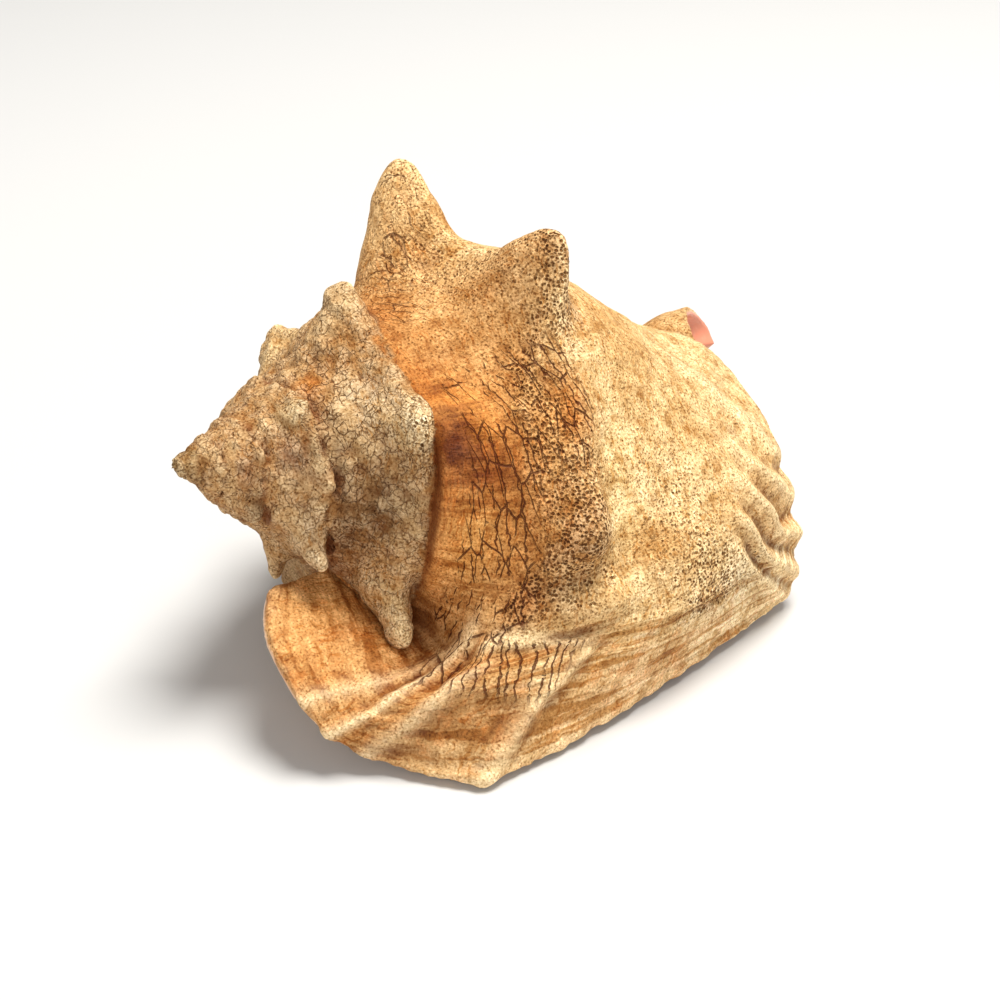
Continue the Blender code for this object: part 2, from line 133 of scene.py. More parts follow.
def shoulder(deg):
    return np.exp(hermite(SHOULDER[:, 0], np.log(SHOULDER[:, 1:]), np.atleast_1d(deg)))[0]

def section(deg):
    """growth line of the regular coil at this angle"""
    u, r = shoulder(deg)
    us, rs = shoulder(deg - 360)
    us += 0.012 * us; rs *= 1.0
    ramp_u = us + (u - us) * RAMP_F
    dip = 0.045 + 0.06 * min(1.0, max(0.0, (-160 - deg) / 60))
    ramp_r = rs + (r - rs) * RAMP_F - dip * (u - us + r - rs) * np.sin(np.pi * RAMP_F)
    size = GROWTH ** ((deg - 20) / 360.0)
    U = np.concatenate([[us + 0.08 * us], ramp_u, u + FLANK_U * size])
    R = np.concatenate([[rs * 0.80], ramp_r, r * FLANK_R])
    late = min(1.0, max(0.0, (deg + 40) / 100))
    a = np.full(len(U), float(deg)); a[-8:] += FLANK_TURN * late * late * (3 - 2 * late)
    a = np.radians(a)
    return np.stack([U, R * np.sin(a), R * np.cos(a)], 1)

def across(P, x):
    """smooth curve through a row of points, uniform columns"""
    n = len(P); x = np.clip(np.asarray(x, float), 0, n - 1 - 1e-9)
    i = np.floor(x).astype(int); f = (x - i)[:, None]
    a = P[np.maximum(i-1, 0)]; b = P[i]; c = P[np.minimum(i+1, n-1)]; d = P[np.minimum(i+2, n-1)]
    return 0.5 * (2*b + (c - a) * f + (2*a - 5*b + 4*c - d) * f**2 + (3*b - a - 3*c + d) * f**3)

def surface(angles, cols, spines=True):
    """points of the outer surface, rows = angles, columns = cols"""
    angles = np.asarray(angles, float); cols = np.asarray(cols, float)
    knots = [0, 20, 40] + [l[0] for l in LINES]
    rows = np.array([section(k) for k in knots[:3]] + [np.array(l[1], float) for l in LINES])
    net = np.zeros((len(angles), NCOL, 3)); early = angles <= 20
    for i in np.where(early)[0]:
        net[i] = section(angles[i])
    if (~early).any():
        net[~early] = hermite(knots, rows, angles[~early])
    P = np.stack([across(r, cols) for r in net])
    if not spines:
        return P
    A, C = np.meshgrid(angles, cols, indexing='ij')
    for (a0, c0, h, wa, wup, wdn, lean, flat, blunt) in SPINES:
        if a0 < angles[0] - 40 or a0 > angles[-1] + 40:
            continue
        w = np.where(C < c0, wup, wdn)
        r = np.sqrt(((A - a0) / wa)**2 + ((C - c0) / w)**2)
        g = h * (blunt * np.exp(-(r / 0.75)**(flat*1.25)) + (1 - blunt) * np.exp(-r**1.5))
        c = across(net_row(a0, knots, rows), [c0])[0]
        rr = math.hypot(c[1], c[2])
        v = np.array([lean, c[1] / rr, c[2] / rr]); v /= np.linalg.norm(v)
        P = P + g[..., None] * v
    return P

def net_row(a, knots, rows):
    return section(a) if a <= 20 else hermite(knots, rows, [a])[0]


# ------------------------------------------------------------------- meshes
def placed(P):
    """shell frame in mm to the frame on the floor, in metres"""
    P = np.asarray(P, float)
    b = math.radians(AXIS_DIP)
    a = np.array((math.cos(b), 0, -math.sin(b)))
    d = np.array((math.sin(b), 0, math.cos(b)))
    n = np.array((0, -1.0, 0))
    c, s = math.cos(math.radians(AXIS_ROLL)), math.sin(math.radians(AXIS_ROLL))
    d, n = c * d + s * n, -s * d + c * n
    return (P[..., 0:1] * a + P[..., 1:2] * n + P[..., 2:3] * d) * (SIZE / 1000.0) + np.array(GROUND)


def new_object(name, points, faces, collection):
    mesh = bpy.data.meshes.new(name)
    mesh.from_pydata([tuple(p) for p in points], [], faces)
    mesh.validate()
    obj = bpy.data.objects.new(name, mesh)
    collection.objects.link(obj)
    return obj


def grid_faces(rows, cols, ring):
    """quads of a grid of points; ring joins the last column to the first"""
    faces = []
    last = cols if ring else cols - 1
    for i in range(rows - 1):
        for j in range(last):
            k = (j + 1) % cols
            faces.append((i * cols + j, i * cols + k, (i + 1) * cols + k, (i + 1) * cols + j))
    return faces


def outward(obj):
    bm = bmesh.new()
    bm.from_mesh(obj.data)
    bmesh.ops.remove_doubles(bm, verts=bm.verts, dist=1e-6)
    bmesh.ops.recalc_face_normals(bm, faces=bm.faces)
    bm.to_mesh(obj.data)
    bm.free()


def filled_coil(collection, step, cols):
    """the early coil, filled to its axis"""
    angles = np.concatenate([np.arange(-2340, -760, 6 * step), np.arange(-760, CORE_END + 0.1, 3 * step)])
    if angles[-1] < CORE_END:
        angles = np.append(angles, CORE_END)
    P = surface(angles, np.linspace(1, NCOL - 1, cols))
    lo = P[:, :1].copy(); lo[..., 1:] = 0; lo[..., 0] += 0.01
    end = P[:, -1:]
    nose = []
    for along, out in NOSE:
        q = end.copy(); q[..., 0] += along * np.hypot(end[..., 1], end[..., 2]); q[..., 1:] *= out
        nose.append(q)
    ring = np.concatenate([P] + nose + [lo], axis=1)
    rows, n = ring.shape[:2]
    faces = grid_faces(rows, n, True)
    faces.append(tuple(range(n)))
    faces.append(tuple((rows - 1) * n + j for j in reversed(range(n))))
    obj = new_object("coil", placed(ring).reshape(-1, 3), faces, collection)
    return obj


def inward(P, thick, rounds):
    """the surface moved into the shell by its thickness and evened out"""
    du = np.gradient(P, axis=0)
    dc = np.gradient(P, axis=1)
    N = np.cross(du, dc)
    N /= np.linalg.norm(N, axis=2, keepdims=True)
    if (N[..., 1:] * P[..., 1:]).sum() < 0:
        N = -N
    Q = P - N * thick[..., None]
    for _ in range(rounds):
        Q[1:-1, 1:-1] += 0.5 * ((Q[2:, 1:-1] + Q[:-2, 1:-1] + Q[1:-1, 2:] + Q[1:-1, :-2]) / 4 - Q[1:-1, 1:-1])
    return Q


def last_wall(collection, step, cols):
    """wall of the last half turn with the flared lip; its spines are solid"""
    angles = np.arange(CORE_END - 50, 140.01, 2 * step)
    if angles[-1] < 140:
        angles = np.append(angles, 140.0)
    c = np.linspace(0, NCOL - 1, cols)
    outer = surface(angles, c)
    A, C = np.meshgrid(angles, c, indexing='ij')
    edge = np.minimum(np.minimum(1.0, (140 - A) / 26.0), 0.25 + (NCOL - 1 - C) / 1.6)
    thick = LIP_EDGE + (WALL - LIP_EDGE) * np.sin(np.clip(edge, 0, 1) * math.pi / 2)
    inner = inward(surface(angles, c, spines=False), thick, 14)
    rows, n = outer.shape[:2]
    faces = grid_faces(rows, n, False)
    k = rows * n
    faces += [tuple(v + k for v in reversed(f)) for f in faces]
    rim = [(0, j) for j in range(n)] + [(i, n - 1) for i in range(1, rows)]
    rim += [(rows - 1, j) for j in reversed(range(n - 1))] + [(i, 0) for i in reversed(range(1, rows - 1))]
    rim = [i * n + j for i, j in rim]
    for a, b in zip(rim, rim[1:] + rim[:1]):
        faces.append((b, a, a + k, b + k))
    points = np.concatenate([placed(outer).reshape(-1, 3), placed(inner).reshape(-1, 3)])
    return new_object("wall", points, faces, collection)


def tube(collection, name, line, radii, sides=28, squash=1.0):
    """closed pillar round a smooth line in the shell frame"""
    t = np.linspace(0, 1, 30)
    k = np.linspace(0, 1, len(line))
    L = hermite(k, np.array(line, float), t)
    R = hermite(k, np.array(radii, float)[:, None], t)[:, 0]
    T = np.gradient(L, axis=0); T /= np.linalg.norm(T, axis=1, keepdims=True)
    side = np.cross(T, (0, 1.0, 0)); side /= np.linalg.norm(side, axis=1, keepdims=True)
    up = np.cross(side, T)
    w = np.linspace(0, 2 * math.pi, sides, endpoint=False)
    P = (L[:, None] + R[:, None, None] * (np.cos(w)[None, :, None] * side[:, None]
                                          + np.sin(w)[None, :, None] * up[:, None] * squash))
    faces = grid_faces(len(t), sides, True)
    faces.append(tuple(range(sides)))
    faces.append(tuple((len(t) - 1) * sides + j for j in reversed(range(sides))))
    return new_object(name, placed(P).reshape(-1, 3), faces, collection)


def gutter_points(rows=44, cols=44):
    """open channel of the siphonal canal, curled up at its tip; the near side is the shorter"""
    w = np.radians(np.linspace(CANAL_WRAP[0], -CANAL_WRAP[1], cols))
    k = np.linspace(0, 1, len(CANAL_LINE))
    f = np.linspace(0, 1, cols)
    g = np.minimum(1.0, 1.15 * f)
    reach = CANAL_NEAR + (1 - CANAL_NEAR) * (g * g * (3 - 2 * g))
    P = np.zeros((rows, cols, 3))
    for j in range(cols):
        t = np.linspace(0, reach[j], rows)
        L = hermite(k, np.array(CANAL_LINE, float), t)
        R = hermite(k, np.array(CANAL_RADIUS, float)[:, None], t)
        O = hermite(k, np.array(CANAL_OPENS, float), t)
        T = hermite(k, np.array(CANAL_LINE, float), t + 0.01) - hermite(k, np.array(CANAL_LINE, float), t - 0.01)
        T /= np.linalg.norm(T, axis=1, keepdims=True)
        O = O - (O * T).sum(1, keepdims=True) * T
        O /= np.linalg.norm(O, axis=1, keepdims=True)
        B = np.cross(T, O)
        P[:, j] = L + R * (-math.cos(w[j]) * O + math.sin(w[j]) * B)
    return P


def canal(collection):
    P = gutter_points()
    rows, cols = P.shape[:2]
    obj = new_object("canal", placed(P).reshape(-1, 3), grid_faces(rows, cols, False), collection)
    solid = obj.modifiers.new("wall", 'SOLIDIFY')
    solid.thickness = CANAL_WALL * SIZE / 1000.0
    solid.offset = 0.0
    return obj


def flattened(obj):
    """the object's mesh as its modifiers leave it"""
    dg = bpy.context.evaluated_depsgraph_get()
    dg.update()
    return bpy.data.meshes.new_from_object(obj.evaluated_get(dg))


def largest_body(mesh):
    """keeps the outer skin and drops any loose crumb"""
    bm = bmesh.new()
    bm.from_mesh(mesh)
    left = set(bm.verts)
    bodies = []
    while left:
        seed = left.pop()
        body, stack = {seed}, [seed]
        while stack:
            v = stack.pop()
            for e in v.link_edges:
                o = e.other_vert(v)
                if o in left:
                    left.discard(o)
                    body.add(o)
                    stack.append(o)
        bodies.append(body)
    bodies.sort(key=len)
    for body in bodies[:-1]:
        bmesh.ops.delete(bm, geom=list(body), context='VERTS')
    bm.to_mesh(mesh)
    bm.free()
    return len(bodies)


# growth to where the coil is filled, and the parts that close the front
CORE_END = -110.0
NOSE = ((.16, .93), (.36, .78), (.55, .55), (.62, .25), (.63, 0.0))   # blunt end of the filled coil
PILLAR_LINE = [(80, 0, 0), (105, 0, -1), (128, 0, 1), (148, -1, 7), (166, -4, 15)]
PILLAR_RADIUS = [23, 22, 19, 15, 10.5]
CANAL_LINE = [(138, 0, 9), (150, 0, 14), (162, -2, 20), (172, -5, 26.5), (182, -7, 30), (195.5, -9, 31.6)]
CANAL_RADIUS = [18, 16, 13.5, 11, 8.8, 8.2]
CANAL_OPENS = [(0, .15, -1), (.1, .15, -1), (.3, .2, -1), (.5, .3, -.8), (.8, .3, -.7), (1.0, .3, -.7)]
CANAL_WRAP = (100, 118)
CANAL_WALL = 3.2
CANAL_NEAR = 0.51


# ------------------------------------------------------- noise, in numpy
def lattice(ix, iy, iz, seed):
    """a number from 0 to 1 for each cell of the lattice"""
    h = (ix.astype(np.int64).astype(np.uint64) * np.uint64(0x9E3779B1)
         ^ iy.astype(np.int64).astype(np.uint64) * np.uint64(0x85EBCA77)
         ^ iz.astype(np.int64).astype(np.uint64) * np.uint64(0xC2B2AE3D)
         ^ np.uint64((seed * 0x27D4EB2F) & 0xFFFFFFFF))
    h &= np.uint64(0xFFFFFFFF)
    h = ((h ^ (h >> np.uint64(15))) * np.uint64(0x2C1B3C6D)) & np.uint64(0xFFFFFFFF)
    h = ((h ^ (h >> np.uint64(12))) * np.uint64(0x297A2D39)) & np.uint64(0xFFFFFFFF)
    h ^= h >> np.uint64(15)
    return h.astype(np.float64) / 4294967295.0


def noise(P, seed=0):
    """smooth value noise, -1 to 1, one feature per unit"""
    i = np.floor(P); f = P - i; f = f * f * (3 - 2 * f)
    out = 0.0
    for dx in (0, 1):
        for dy in (0, 1):
            for dz in (0, 1):
                w = ((f[:, 0] if dx else 1 - f[:, 0]) * (f[:, 1] if dy else 1 - f[:, 1])
                     * (f[:, 2] if dz else 1 - f[:, 2]))
                out = out + w * lattice(i[:, 0] + dx, i[:, 1] + dy, i[:, 2] + dz, seed)
    return 2 * out - 1


def fractal(P, seed=0, octaves=3, gain=0.5):
    total, amp, norm = 0.0, 1.0, 0.0
    for k in range(octaves):
        total = total + amp * noise(P * 2.0**k + 17.3 * k, seed + k)
        norm += amp
        amp *= gain
    return total / norm


def cells(P, seed=0):
    """distance to the nearest and the second nearest of scattered points, and the nearest one's number"""
    i = np.floor(P)
    d1 = np.full(len(P), 9.0); d2 = np.full(len(P), 9.0); who = np.zeros(len(P))
    for dx in (-1, 0, 1):
        for dy in (-1, 0, 1):
            for dz in (-1, 0, 1):
                jx, jy, jz = i[:, 0] + dx, i[:, 1] + dy, i[:, 2] + dz
                qx = jx + lattice(jx, jy, jz, seed) - P[:, 0]
                qy = jy + lattice(jx, jy, jz, seed + 7) - P[:, 1]
                qz = jz + lattice(jx, jy, jz, seed + 13) - P[:, 2]
                d = np.sqrt(qx * qx + qy * qy + qz * qz)
                near = d < d1
                d2 = np.where(near, d1, np.minimum(d2, d))
                who = np.where(near, lattice(jx, jy, jz, seed + 29), who)
                d1 = np.where(near, d, d1)
    return d1, d2, who


def step(x, lo, hi):
    """smooth rise from 0 at lo to 1 at hi"""
    t = np.clip((x - lo) / (hi - lo), 0, 1)
    return t * t * (3 - 2 * t)


def spot(t, c, t0, c0, st, sc):
    return np.exp(-((t - t0) / st)**2 - ((c - c0) / sc)**2)


def track(t, c, line, width, ends=6.0):
    """1 on a line drawn over the growth angles, falling to 0 over width (columns); and the signed distance"""
    line = np.array(line, float)
    mid = np.interp(t, line[:, 0], line[:, 1])
    inside = step(t, line[0, 0] - ends, line[0, 0] + ends) * (1 - step(t, line[-1, 0] + 2, line[-1, 0] + 2 + ends))
    return np.exp(-((c - mid) / width)**2) * inside, (c - mid)


# ----------------------------------------------------- where a point lies
def growth_sheets():
    """sheets of the shell with the growth angle and column of each of their points"""
    def sheet(P, T, C, kind):
        return placed(P).reshape(-1, 3), np.asarray(T, float).ravel(), np.asarray(C, float).ravel(), P.shape[:2], kind
    outer, inner = [], []
    t = np.concatenate([np.arange(-2340, -760, 6.0), np.arange(-760, CORE_END + .1, 2.5)])
    c = np.linspace(1, NCOL - 1, 105)
    P = surface(t, c)
    outer.append(sheet(P, *np.meshgrid(t, c, indexing='ij'), 0))
    t = np.append(np.arange(CORE_END, 139.9, 1.5), 140.0)
    c = np.linspace(0, NCOL - 1, 150)
    P = surface(t, c)
    A, C = np.meshgrid(t, c, indexing='ij')
    outer.append(sheet(P, A, C, 0))
    edge = np.minimum(np.minimum(1.0, (140 - A) / 26.0), 0.25 + (NCOL - 1 - C) / 1.6)
    thick = LIP_EDGE + (WALL - LIP_EDGE) * np.sin(np.clip(edge, 0, 1) * math.pi / 2)
    inner.append(sheet(inward(surface(t, c, spines=False), thick, 14), A, C, 1))
    G = gutter_points()
    N = np.cross(np.gradient(G, axis=0), np.gradient(G, axis=1))
    N /= np.linalg.norm(N, axis=2, keepdims=True)
    mid = hermite(np.linspace(0, 1, len(CANAL_LINE)), np.array(CANAL_LINE, float), np.linspace(0, 1, G.shape[0]))
    if ((G - mid[:, None]) * N).sum() < 0:
        N = -N
    k, w = np.meshgrid(np.arange(G.shape[0]), np.arange(G.shape[1]), indexing='ij')
    outer.append(sheet(G + 0.5 * CANAL_WALL * N, 200 + k, w * .25, 2))
    inner.append(sheet(G - 0.5 * CANAL_WALL * N, 200 + k, w * .25, 3))
    # the columella and the blunt end of the filled coil
    u = np.linspace(60, 170, 40)
    pu = np.array([p[0] for p in PILLAR_LINE]); pr = np.array(PILLAR_RADIUS) + 0.0
    w = np.radians(np.linspace(0, 360, 49))
    axis_n = np.interp(u, pu, [p[1] for p in PILLAR_LINE]); axis_d = np.interp(u, pu, [p[2] for p in PILLAR_LINE])
    R = np.interp(u, pu, pr)
    P = np.stack([u[:, None] + 0 * w, axis_n[:, None] + R[:, None] * np.sin(w), axis_d[:, None] + R[:, None] * np.cos(w)], 2)
    inner.append(sheet(P, 0 * P[..., 0] - 150, 0 * P[..., 0] + 12, 4))
    t = np.arange(-300, CORE_END + .1, 5.0)
    end = surface(t, np.array([NCOL - 1.0]))
    nose = [end.copy()]
    for along, out in NOSE:
        q = end.copy(); q[..., 0] += along * np.hypot(end[..., 1], end[..., 2]); q[..., 1:] *= out
        nose.append(q)
    P = np.concatenate(nose, axis=1)
    inner.append(sheet(P, t[:, None] + 0 * P[..., 0], 0 * P[..., 0] + 14, 4))
    return outer, inner


class Finder:
    """nearest point on a set of sheets, and the growth angle and column there"""
    def __init__(self, sheets):
        V, T, C, K, F = [], [], [], [], []
        base = 0
        for P, t, c, (rows, cols), kind in sheets:
            i, j = np.meshgrid(np.arange(rows - 1), np.arange(cols - 1), indexing='ij')
            a = (base + i * cols + j).ravel()
            F += [np.stack([a, a + 1, a + cols + 1], 1), np.stack([a, a + cols + 1, a + cols], 1)]
            V.append(P); T.append(t); C.append(c); K.append(np.full(len(t), kind))
            base += len(P)
        self.V, self.T, self.C, self.K = np.concatenate(V), np.concatenate(T), np.concatenate(C), np.concatenate(K)
        self.F = np.concatenate(F)
        self.tree = BVHTree.FromPolygons([tuple(v) for v in self.V], [tuple(f) for f in self.F.tolist()])

    def find(self, points):
        n = len(points)
        hit = np.zeros(n, int); far = np.zeros(n); at = np.zeros((n, 3))
        nearest = self.tree.find_nearest
        for k, p in enumerate(points.tolist()):
            co, _, index, dist = nearest(p)
            hit[k] = index; far[k] = dist; at[k] = co
        f = self.F[hit]
        a, b, c = self.V[f[:, 0]], self.V[f[:, 1]], self.V[f[:, 2]]
        v0, v1, v2 = b - a, c - a, at - a
        d00 = (v0 * v0).sum(1); d01 = (v0 * v1).sum(1); d11 = (v1 * v1).sum(1)
        d20 = (v2 * v0).sum(1); d21 = (v2 * v1).sum(1)
        den = np.maximum(d00 * d11 - d01 * d01, 1e-20)
        wb = (d11 * d20 - d01 * d21) / den; wc = (d00 * d21 - d01 * d20) / den
        wa = 1 - wb - wc
        T = wa * self.T[f[:, 0]] + wb * self.T[f[:, 1]] + wc * self.T[f[:, 2]]
        C = wa * self.C[f[:, 0]] + wb * self.C[f[:, 1]] + wc * self.C[f[:, 2]]
        return far * 1000, T, C, self.K[f[:, 0]]


def locate(points, outer, inner):
    """growth angle, column, kind of sheet, and how far inside (0 outer skin, 1 inner skin)"""
    do, to, co, ko = outer.find(points)
    di, ti, ci, ki = inner.find(points)
    inside = step((do - di) / (do + di + 1e-6), -0.45, 0.45) * step(do, .7, 1.9)
    pick = do <= di
    t = np.where(pick, to, ti); c = np.where(pick, co, ci); k = np.where(pick, ko, ki)
    return t, c, k, inside


def run_length(t):
    """distance along the coil in mm, and the size of the whorl there"""
    g = math.log(GROWTH) / 360.0
    k = np.exp(g * np.minimum(t, -130.0) + g * 130.0)
    s = np.where(t < -130.0, -130.0 * 1.05 + (k - 1) * 1.05 / g, t * 1.05)
    return s, k


# ------------------------------------------------------- relief, in numpy
RIBS = [  # growth angle and column along each rib of the right edge, height, half width (columns)
    ([(27, 10.2), (39, 10.85), (58, 10.95), (68, 11.25), (76, 11.88), (86, 12.14), (110, 13.0)], 1.7, .30),
    ([(68, 10.25), (76, 10.57), (86, 11.23), (108, 12.27), (140, 12.75)], 2.3, .27),
    ([(76, 10.06), (84, 10.42), (99, 10.97), (128, 11.85), (140, 12.1)], 2.4, .22),
    ([(86, 9.76), (104, 10.19), (118, 10.8), (132, 11.3), (140, 11.5)], 2.2, .22),
    ([(100, 9.4), (106, 9.57), (122, 10.45), (140, 11.15)], 1.6, .2)]
FURROWS = [
    ([(66, 10.75), (76, 11.2), (92, 12.0), (112, 12.7)], -1.1, .2),
    ([(80, 10.72), (94, 11.2), (124, 12.12), (140, 12.4)], -1.5, .18),
    ([(84, 10.05), (102, 10.6), (126, 11.55), (140, 11.8)], -1.4, .17),
    ([(98, 9.75), (112, 10.25), (128, 10.85), (140, 11.3)], -1.1, .15)]
LOBE = [
    ([(104, 3.62), (113, 3.52), (125, 3.41), (136, 3.1), (140, 3.0)], .75, .16),
    ([(107, 3.85), (113, 3.75), (121, 3.8), (130, 3.96), (140, 3.86)], 1.35, .15),
    ([(118, 4.95), (124, 4.7), (132, 4.76), (140, 4.66)], .7, .2),
    ([(112, 3.6), (121, 3.58), (130, 3.68), (140, 3.5)], -.6, .12),
    ([(112, 4.15), (122, 4.2), (130, 4.3), (140, 4.2)], -.8, .2)]
HORN = [  # ridge and groove down the far side of the second horn, and the hollow beside the knobs
    ([(24, 6.15), (31, 6.12), (36, 5.95), (42, 5.5), (50, 4.7), (56, 4.2)], 1.9, .28),
    ([(26, 7.2), (34, 6.95), (40, 6.55), (51, 6.05), (60, 5.5)], -1.5, .42),
    ([(58, 6.95), (74, 7.05), (88, 7.1), (98, 6.9)], -.9, .5)]
FOLD = ([(116, 6.3), (124, 6.55), (128, 6.5), (132, 6.2), (136, 6.08), (140, 6.02)], 1.7, .2)


def relief(P, t, c, kind, inside):
    """height over the smooth growth surface in mm, and masks that the colours use"""
    mm = P * 1000.0
    s, k = run_length(t)
    own = (kind == 0).astype(float)
    skin = (1 - inside)
    last = step(t, -140, -110) * own
    h = np.zeros(len(P)); thick = np.zeros(len(P)); crest = np.zeros(len(P))
    for line, height, width in RIBS + FURROWS:
        g, _ = track(t, c, line, width, 8.0)
        g = g * step(t, line[0][0] - 6, line[0][0] + 14) * own
        thick += height * g
        crest += np.sign(height) * g * .8
    for line, height, width in LOBE:
        g, _ = track(t, c, line, width * (1 + .25 * noise(mm / 9.0, 3)), 4.0)
        g = g * (1 + .25 * noise(mm / 6.0, 5)) * own
        thick += height * g
        crest += np.sign(height) * g * min(1.0, abs(height))
    g, d = track(t, c, FOLD[0], FOLD[2], 7.0)
    thick += FOLD[1] * (g - .55 * np.exp(-((d - .34) / .26)**2) * step(t, 116, 124)) * own
    crest += .5 * g * own
    for line, height, width in HORN:
        g, _ = track(t, c, line, width, 8.0)
        thick += height * g * own
    # the old knob stands out more on its far side, over a sunk shelf
    thick += (1.5 * spot(t, c, 85, 5.75, 9, .65) - 1.3 * spot(t, c, 98, 5.8, 4.5, .9)) * own
    # the raised patch with hanging cracks ends in a low step
    thick += 1.0 * hanging(t, c) * own
    # growth undulations, strongest on the lobe and the wing
    wing = step(t, 108, 124) * own
    lobe = step(t, 96, 112) * (1 - step(c, 3.4, 4.6)) * own
    along = np.stack([s / 3.4, c * .55, np.zeros(len(t))], 1)
    fine = np.stack([s / 1.15, c * 1.2, np.zeros(len(t))], 1)
    bend = .6 * noise(mm / 14.0, 21)
    along[:, 0] += bend; fine[:, 0] += 2.2 * bend
    stria = .42 * noise(along, 31) + .24 * noise(fine, 33)
    weight = np.clip(.35 + .75 * wing + .55 * lobe, 0, 1.15) * own
    h += stria * weight
    # the pale growth band over the hanging cracks, a step down after it
    band = np.exp(-((t - np.interp(c, [4.4, 4.94, 5.43, 6.12], [110, 110, 113, 120])) / 2.6)**2)
    band = band * step(c, 4.1, 4.5) * (1 - step(c, 6.0, 6.5)) * own
    h += .7 * band
    crest = crest + 1.0 * band
    # soft lumps and dents
    h += (.7 * noise(mm / 13.0, 41) + .3 * noise(mm / 6.0, 43) + .14 * noise(mm / 3.1, 45)) * (1 - .5 * wing) * (1 - .5 * lobe)
    # coarse pits of the worn skin
    d1, d2, who = cells(mm / 2.1, 51)
    pitted = pits(t, c, kind)
    open_pit = (who < pitted * .55) * (1 - step(d1, .12, .5))
    h -= .34 * open_pit * (k * .4 + .6)
    d1, d2, who = cells(mm / 1.25, 57)
    h -= .16 * (who < pitted * .8) * (1 - step(d1, .1, .55))
    # wrinkled knobs of the old whorls
    old = (1 - step(t, -200, -110)) * (kind == 0)
    h += old * (.8 * noise(mm / np.array([3.6, 5.2, 5.2]), 47) + .42 * noise(mm / 2.1, 49))
    # each early whorl swells between its sutures
    swell = np.sin(np.pi * np.clip((c - 1) / 5.4, 0, 1))
    h += (1 - step(t, -230, -180)) * (kind == 0) * (1.9 * swell - 1.3 * seam(t, c, kind, .35)) * np.clip(k * 2.0, .35, 1)
    # plates between the long cracks
    w = np.stack([s * .42 / 3.6 + .35 * noise(mm / 5.0, 61), c * 11 / 3.6 + .35 * noise(mm / 5.0, 63), 0 * s], 1)
    e1, e2, who = cells(w, 65)
    h += cracked(t, c, kind) * (.3 * (who - .5) - .1 * (1 - step(e2 - e1, .02, .16)))
    rough = np.where(kind == 2, .8, 1.0)
    edge = step(t, 135.5, 139) * own
    thick += edge * (.7 * noise(mm / 5.5, 71) + .35 * noise(mm / 2.2, 73))
    height = thick * (skin - .85 * inside) + h * skin * rough * SIZE
    # the glazed inside keeps only a soft wave
    height += inside * .25 * noise(mm / 16.0, 81)
    return height, crest, open_pit


def seam(t, c, kind, reach):
    """the line where one early whorl meets the one before, 0 to 1"""
    a = 1 - step(c, 1.12 + reach * .4, 1.2 + reach)
    b = step(c, 6.75 - reach, 6.9) * (1 - step(t, -455, -440))
    return (kind == 0) * np.maximum(a * (1 - step(t, -150, -140)), b)


def hanging(t, c):
    """the patch of close cracks below the pale band, 0 to 1"""
    start = np.interp(c, [4.3, 5.0, 5.5, 6.2], [110, 111, 114, 120])
    end = np.interp(c, [4.3, 4.8, 5.3, 6.0, 6.4], [121, 125, 128, 131, 131])
    return step(t, start - 1, start + 1) * (1 - step(t, end - 1.5, end + 1.5)) * step(c, 4.1, 4.5) * (1 - step(c, 6.2, 6.5))


def pits(t, c, kind):
    """how pitted the skin is, 0 to 1"""
    p = np.where(t < -110, .35, .30)
    p = p + .7 * spot(t, c, 84, 5.7, 17, .95) + .6 * spot(t, c, 58, 4.6, 16, .8) + .8 * spot(t, c, 32, 6.1, 10, .6)
    p = p + .5 * spot(t, c, 101, 4.9, 7, .6) + .25 * spot(t, c, 92, 8.4, 26, 1.5) + .25 * spot(t, c, 10, 5.2, 24, 1.5)
    p = p + .6 * spot(t, c, 119, 9.0, 6, .7) + .35 * spot(t, c, 119, 10.5, 10, .5) + .5 * spot(t, c, 109, 8.9, 8, .6)
    p = p + .3 * spot(t, c, -302, 5.9, 9, .8)
    p = p - .35 * step(t, 112, 124) * (1 - spot(t, c, 120, 9.2, 8, 1.6)) - .5 * spot(t, c, 66, 2.2, 24, 1.2)
    p = p - .5 * step(t, 96, 108) * (1 - step(c, 3.6, 4.8)) - .2 * spot(t, c, 84, 7.0, 14, .4)
    return np.clip(np.where(kind == 2, .35, p), .03, 1)


def cracked(t, c, kind):
    """how cracked the skin is, 0 to 1"""
    high = np.interp(t, [36, 60, 76, 90, 112], [5.6, 6.4, 6.0, 5.3, 5.0])
    k = 1.0 * step(t, 34, 50) * (1 - step(t, 108, 114)) * step(c, 1.8, 2.6) * (1 - step(c, high - .3, high + .3))
    k = k * (1 - .9 * spot(t, c, 84, 5.8, 12, .7))
    k = k + .8 * spot(t, c, 116, 3.9, 8, .7) + .55 * spot(t, c, -12, 5.2, 9, 1.6) + .45 * spot(t, c, 6, 3.2, 16, 1.6)
    return np.where(kind == 0, np.clip(k, 0, 1), 0)


# ------------------------------------------------------- the fine surface
def arrays(mesh):
    n = len(mesh.vertices)
    co = np.empty(n * 3, np.float32); mesh.vertices.foreach_get("co", co)
    no = np.empty(n * 3, np.float32); mesh.vertex_normals.foreach_get("vector", no)
    ed = np.empty(len(mesh.edges) * 2, np.int32); mesh.edges.foreach_get("vertices", ed)
    return co.reshape(-1, 3).astype(float), no.reshape(-1, 3).astype(float), ed.reshape(-1, 2)


def evened(X, edges, rounds, pull=0.5):
    """X averaged with its neighbours over the mesh, some rounds"""
    n = len(X)
    X = np.array(X, float).reshape(n, -1)
    count = np.bincount(edges.ravel(), minlength=n)[:, None]
    a, b = edges[:, 0], edges[:, 1]
    for _ in range(rounds):
        S = np.stack([np.bincount(a, X[b, j], n) + np.bincount(b, X[a, j], n) for j in range(X.shape[1])], 1)
        X = X + pull * (S / np.maximum(count, 1) - X)
    return X


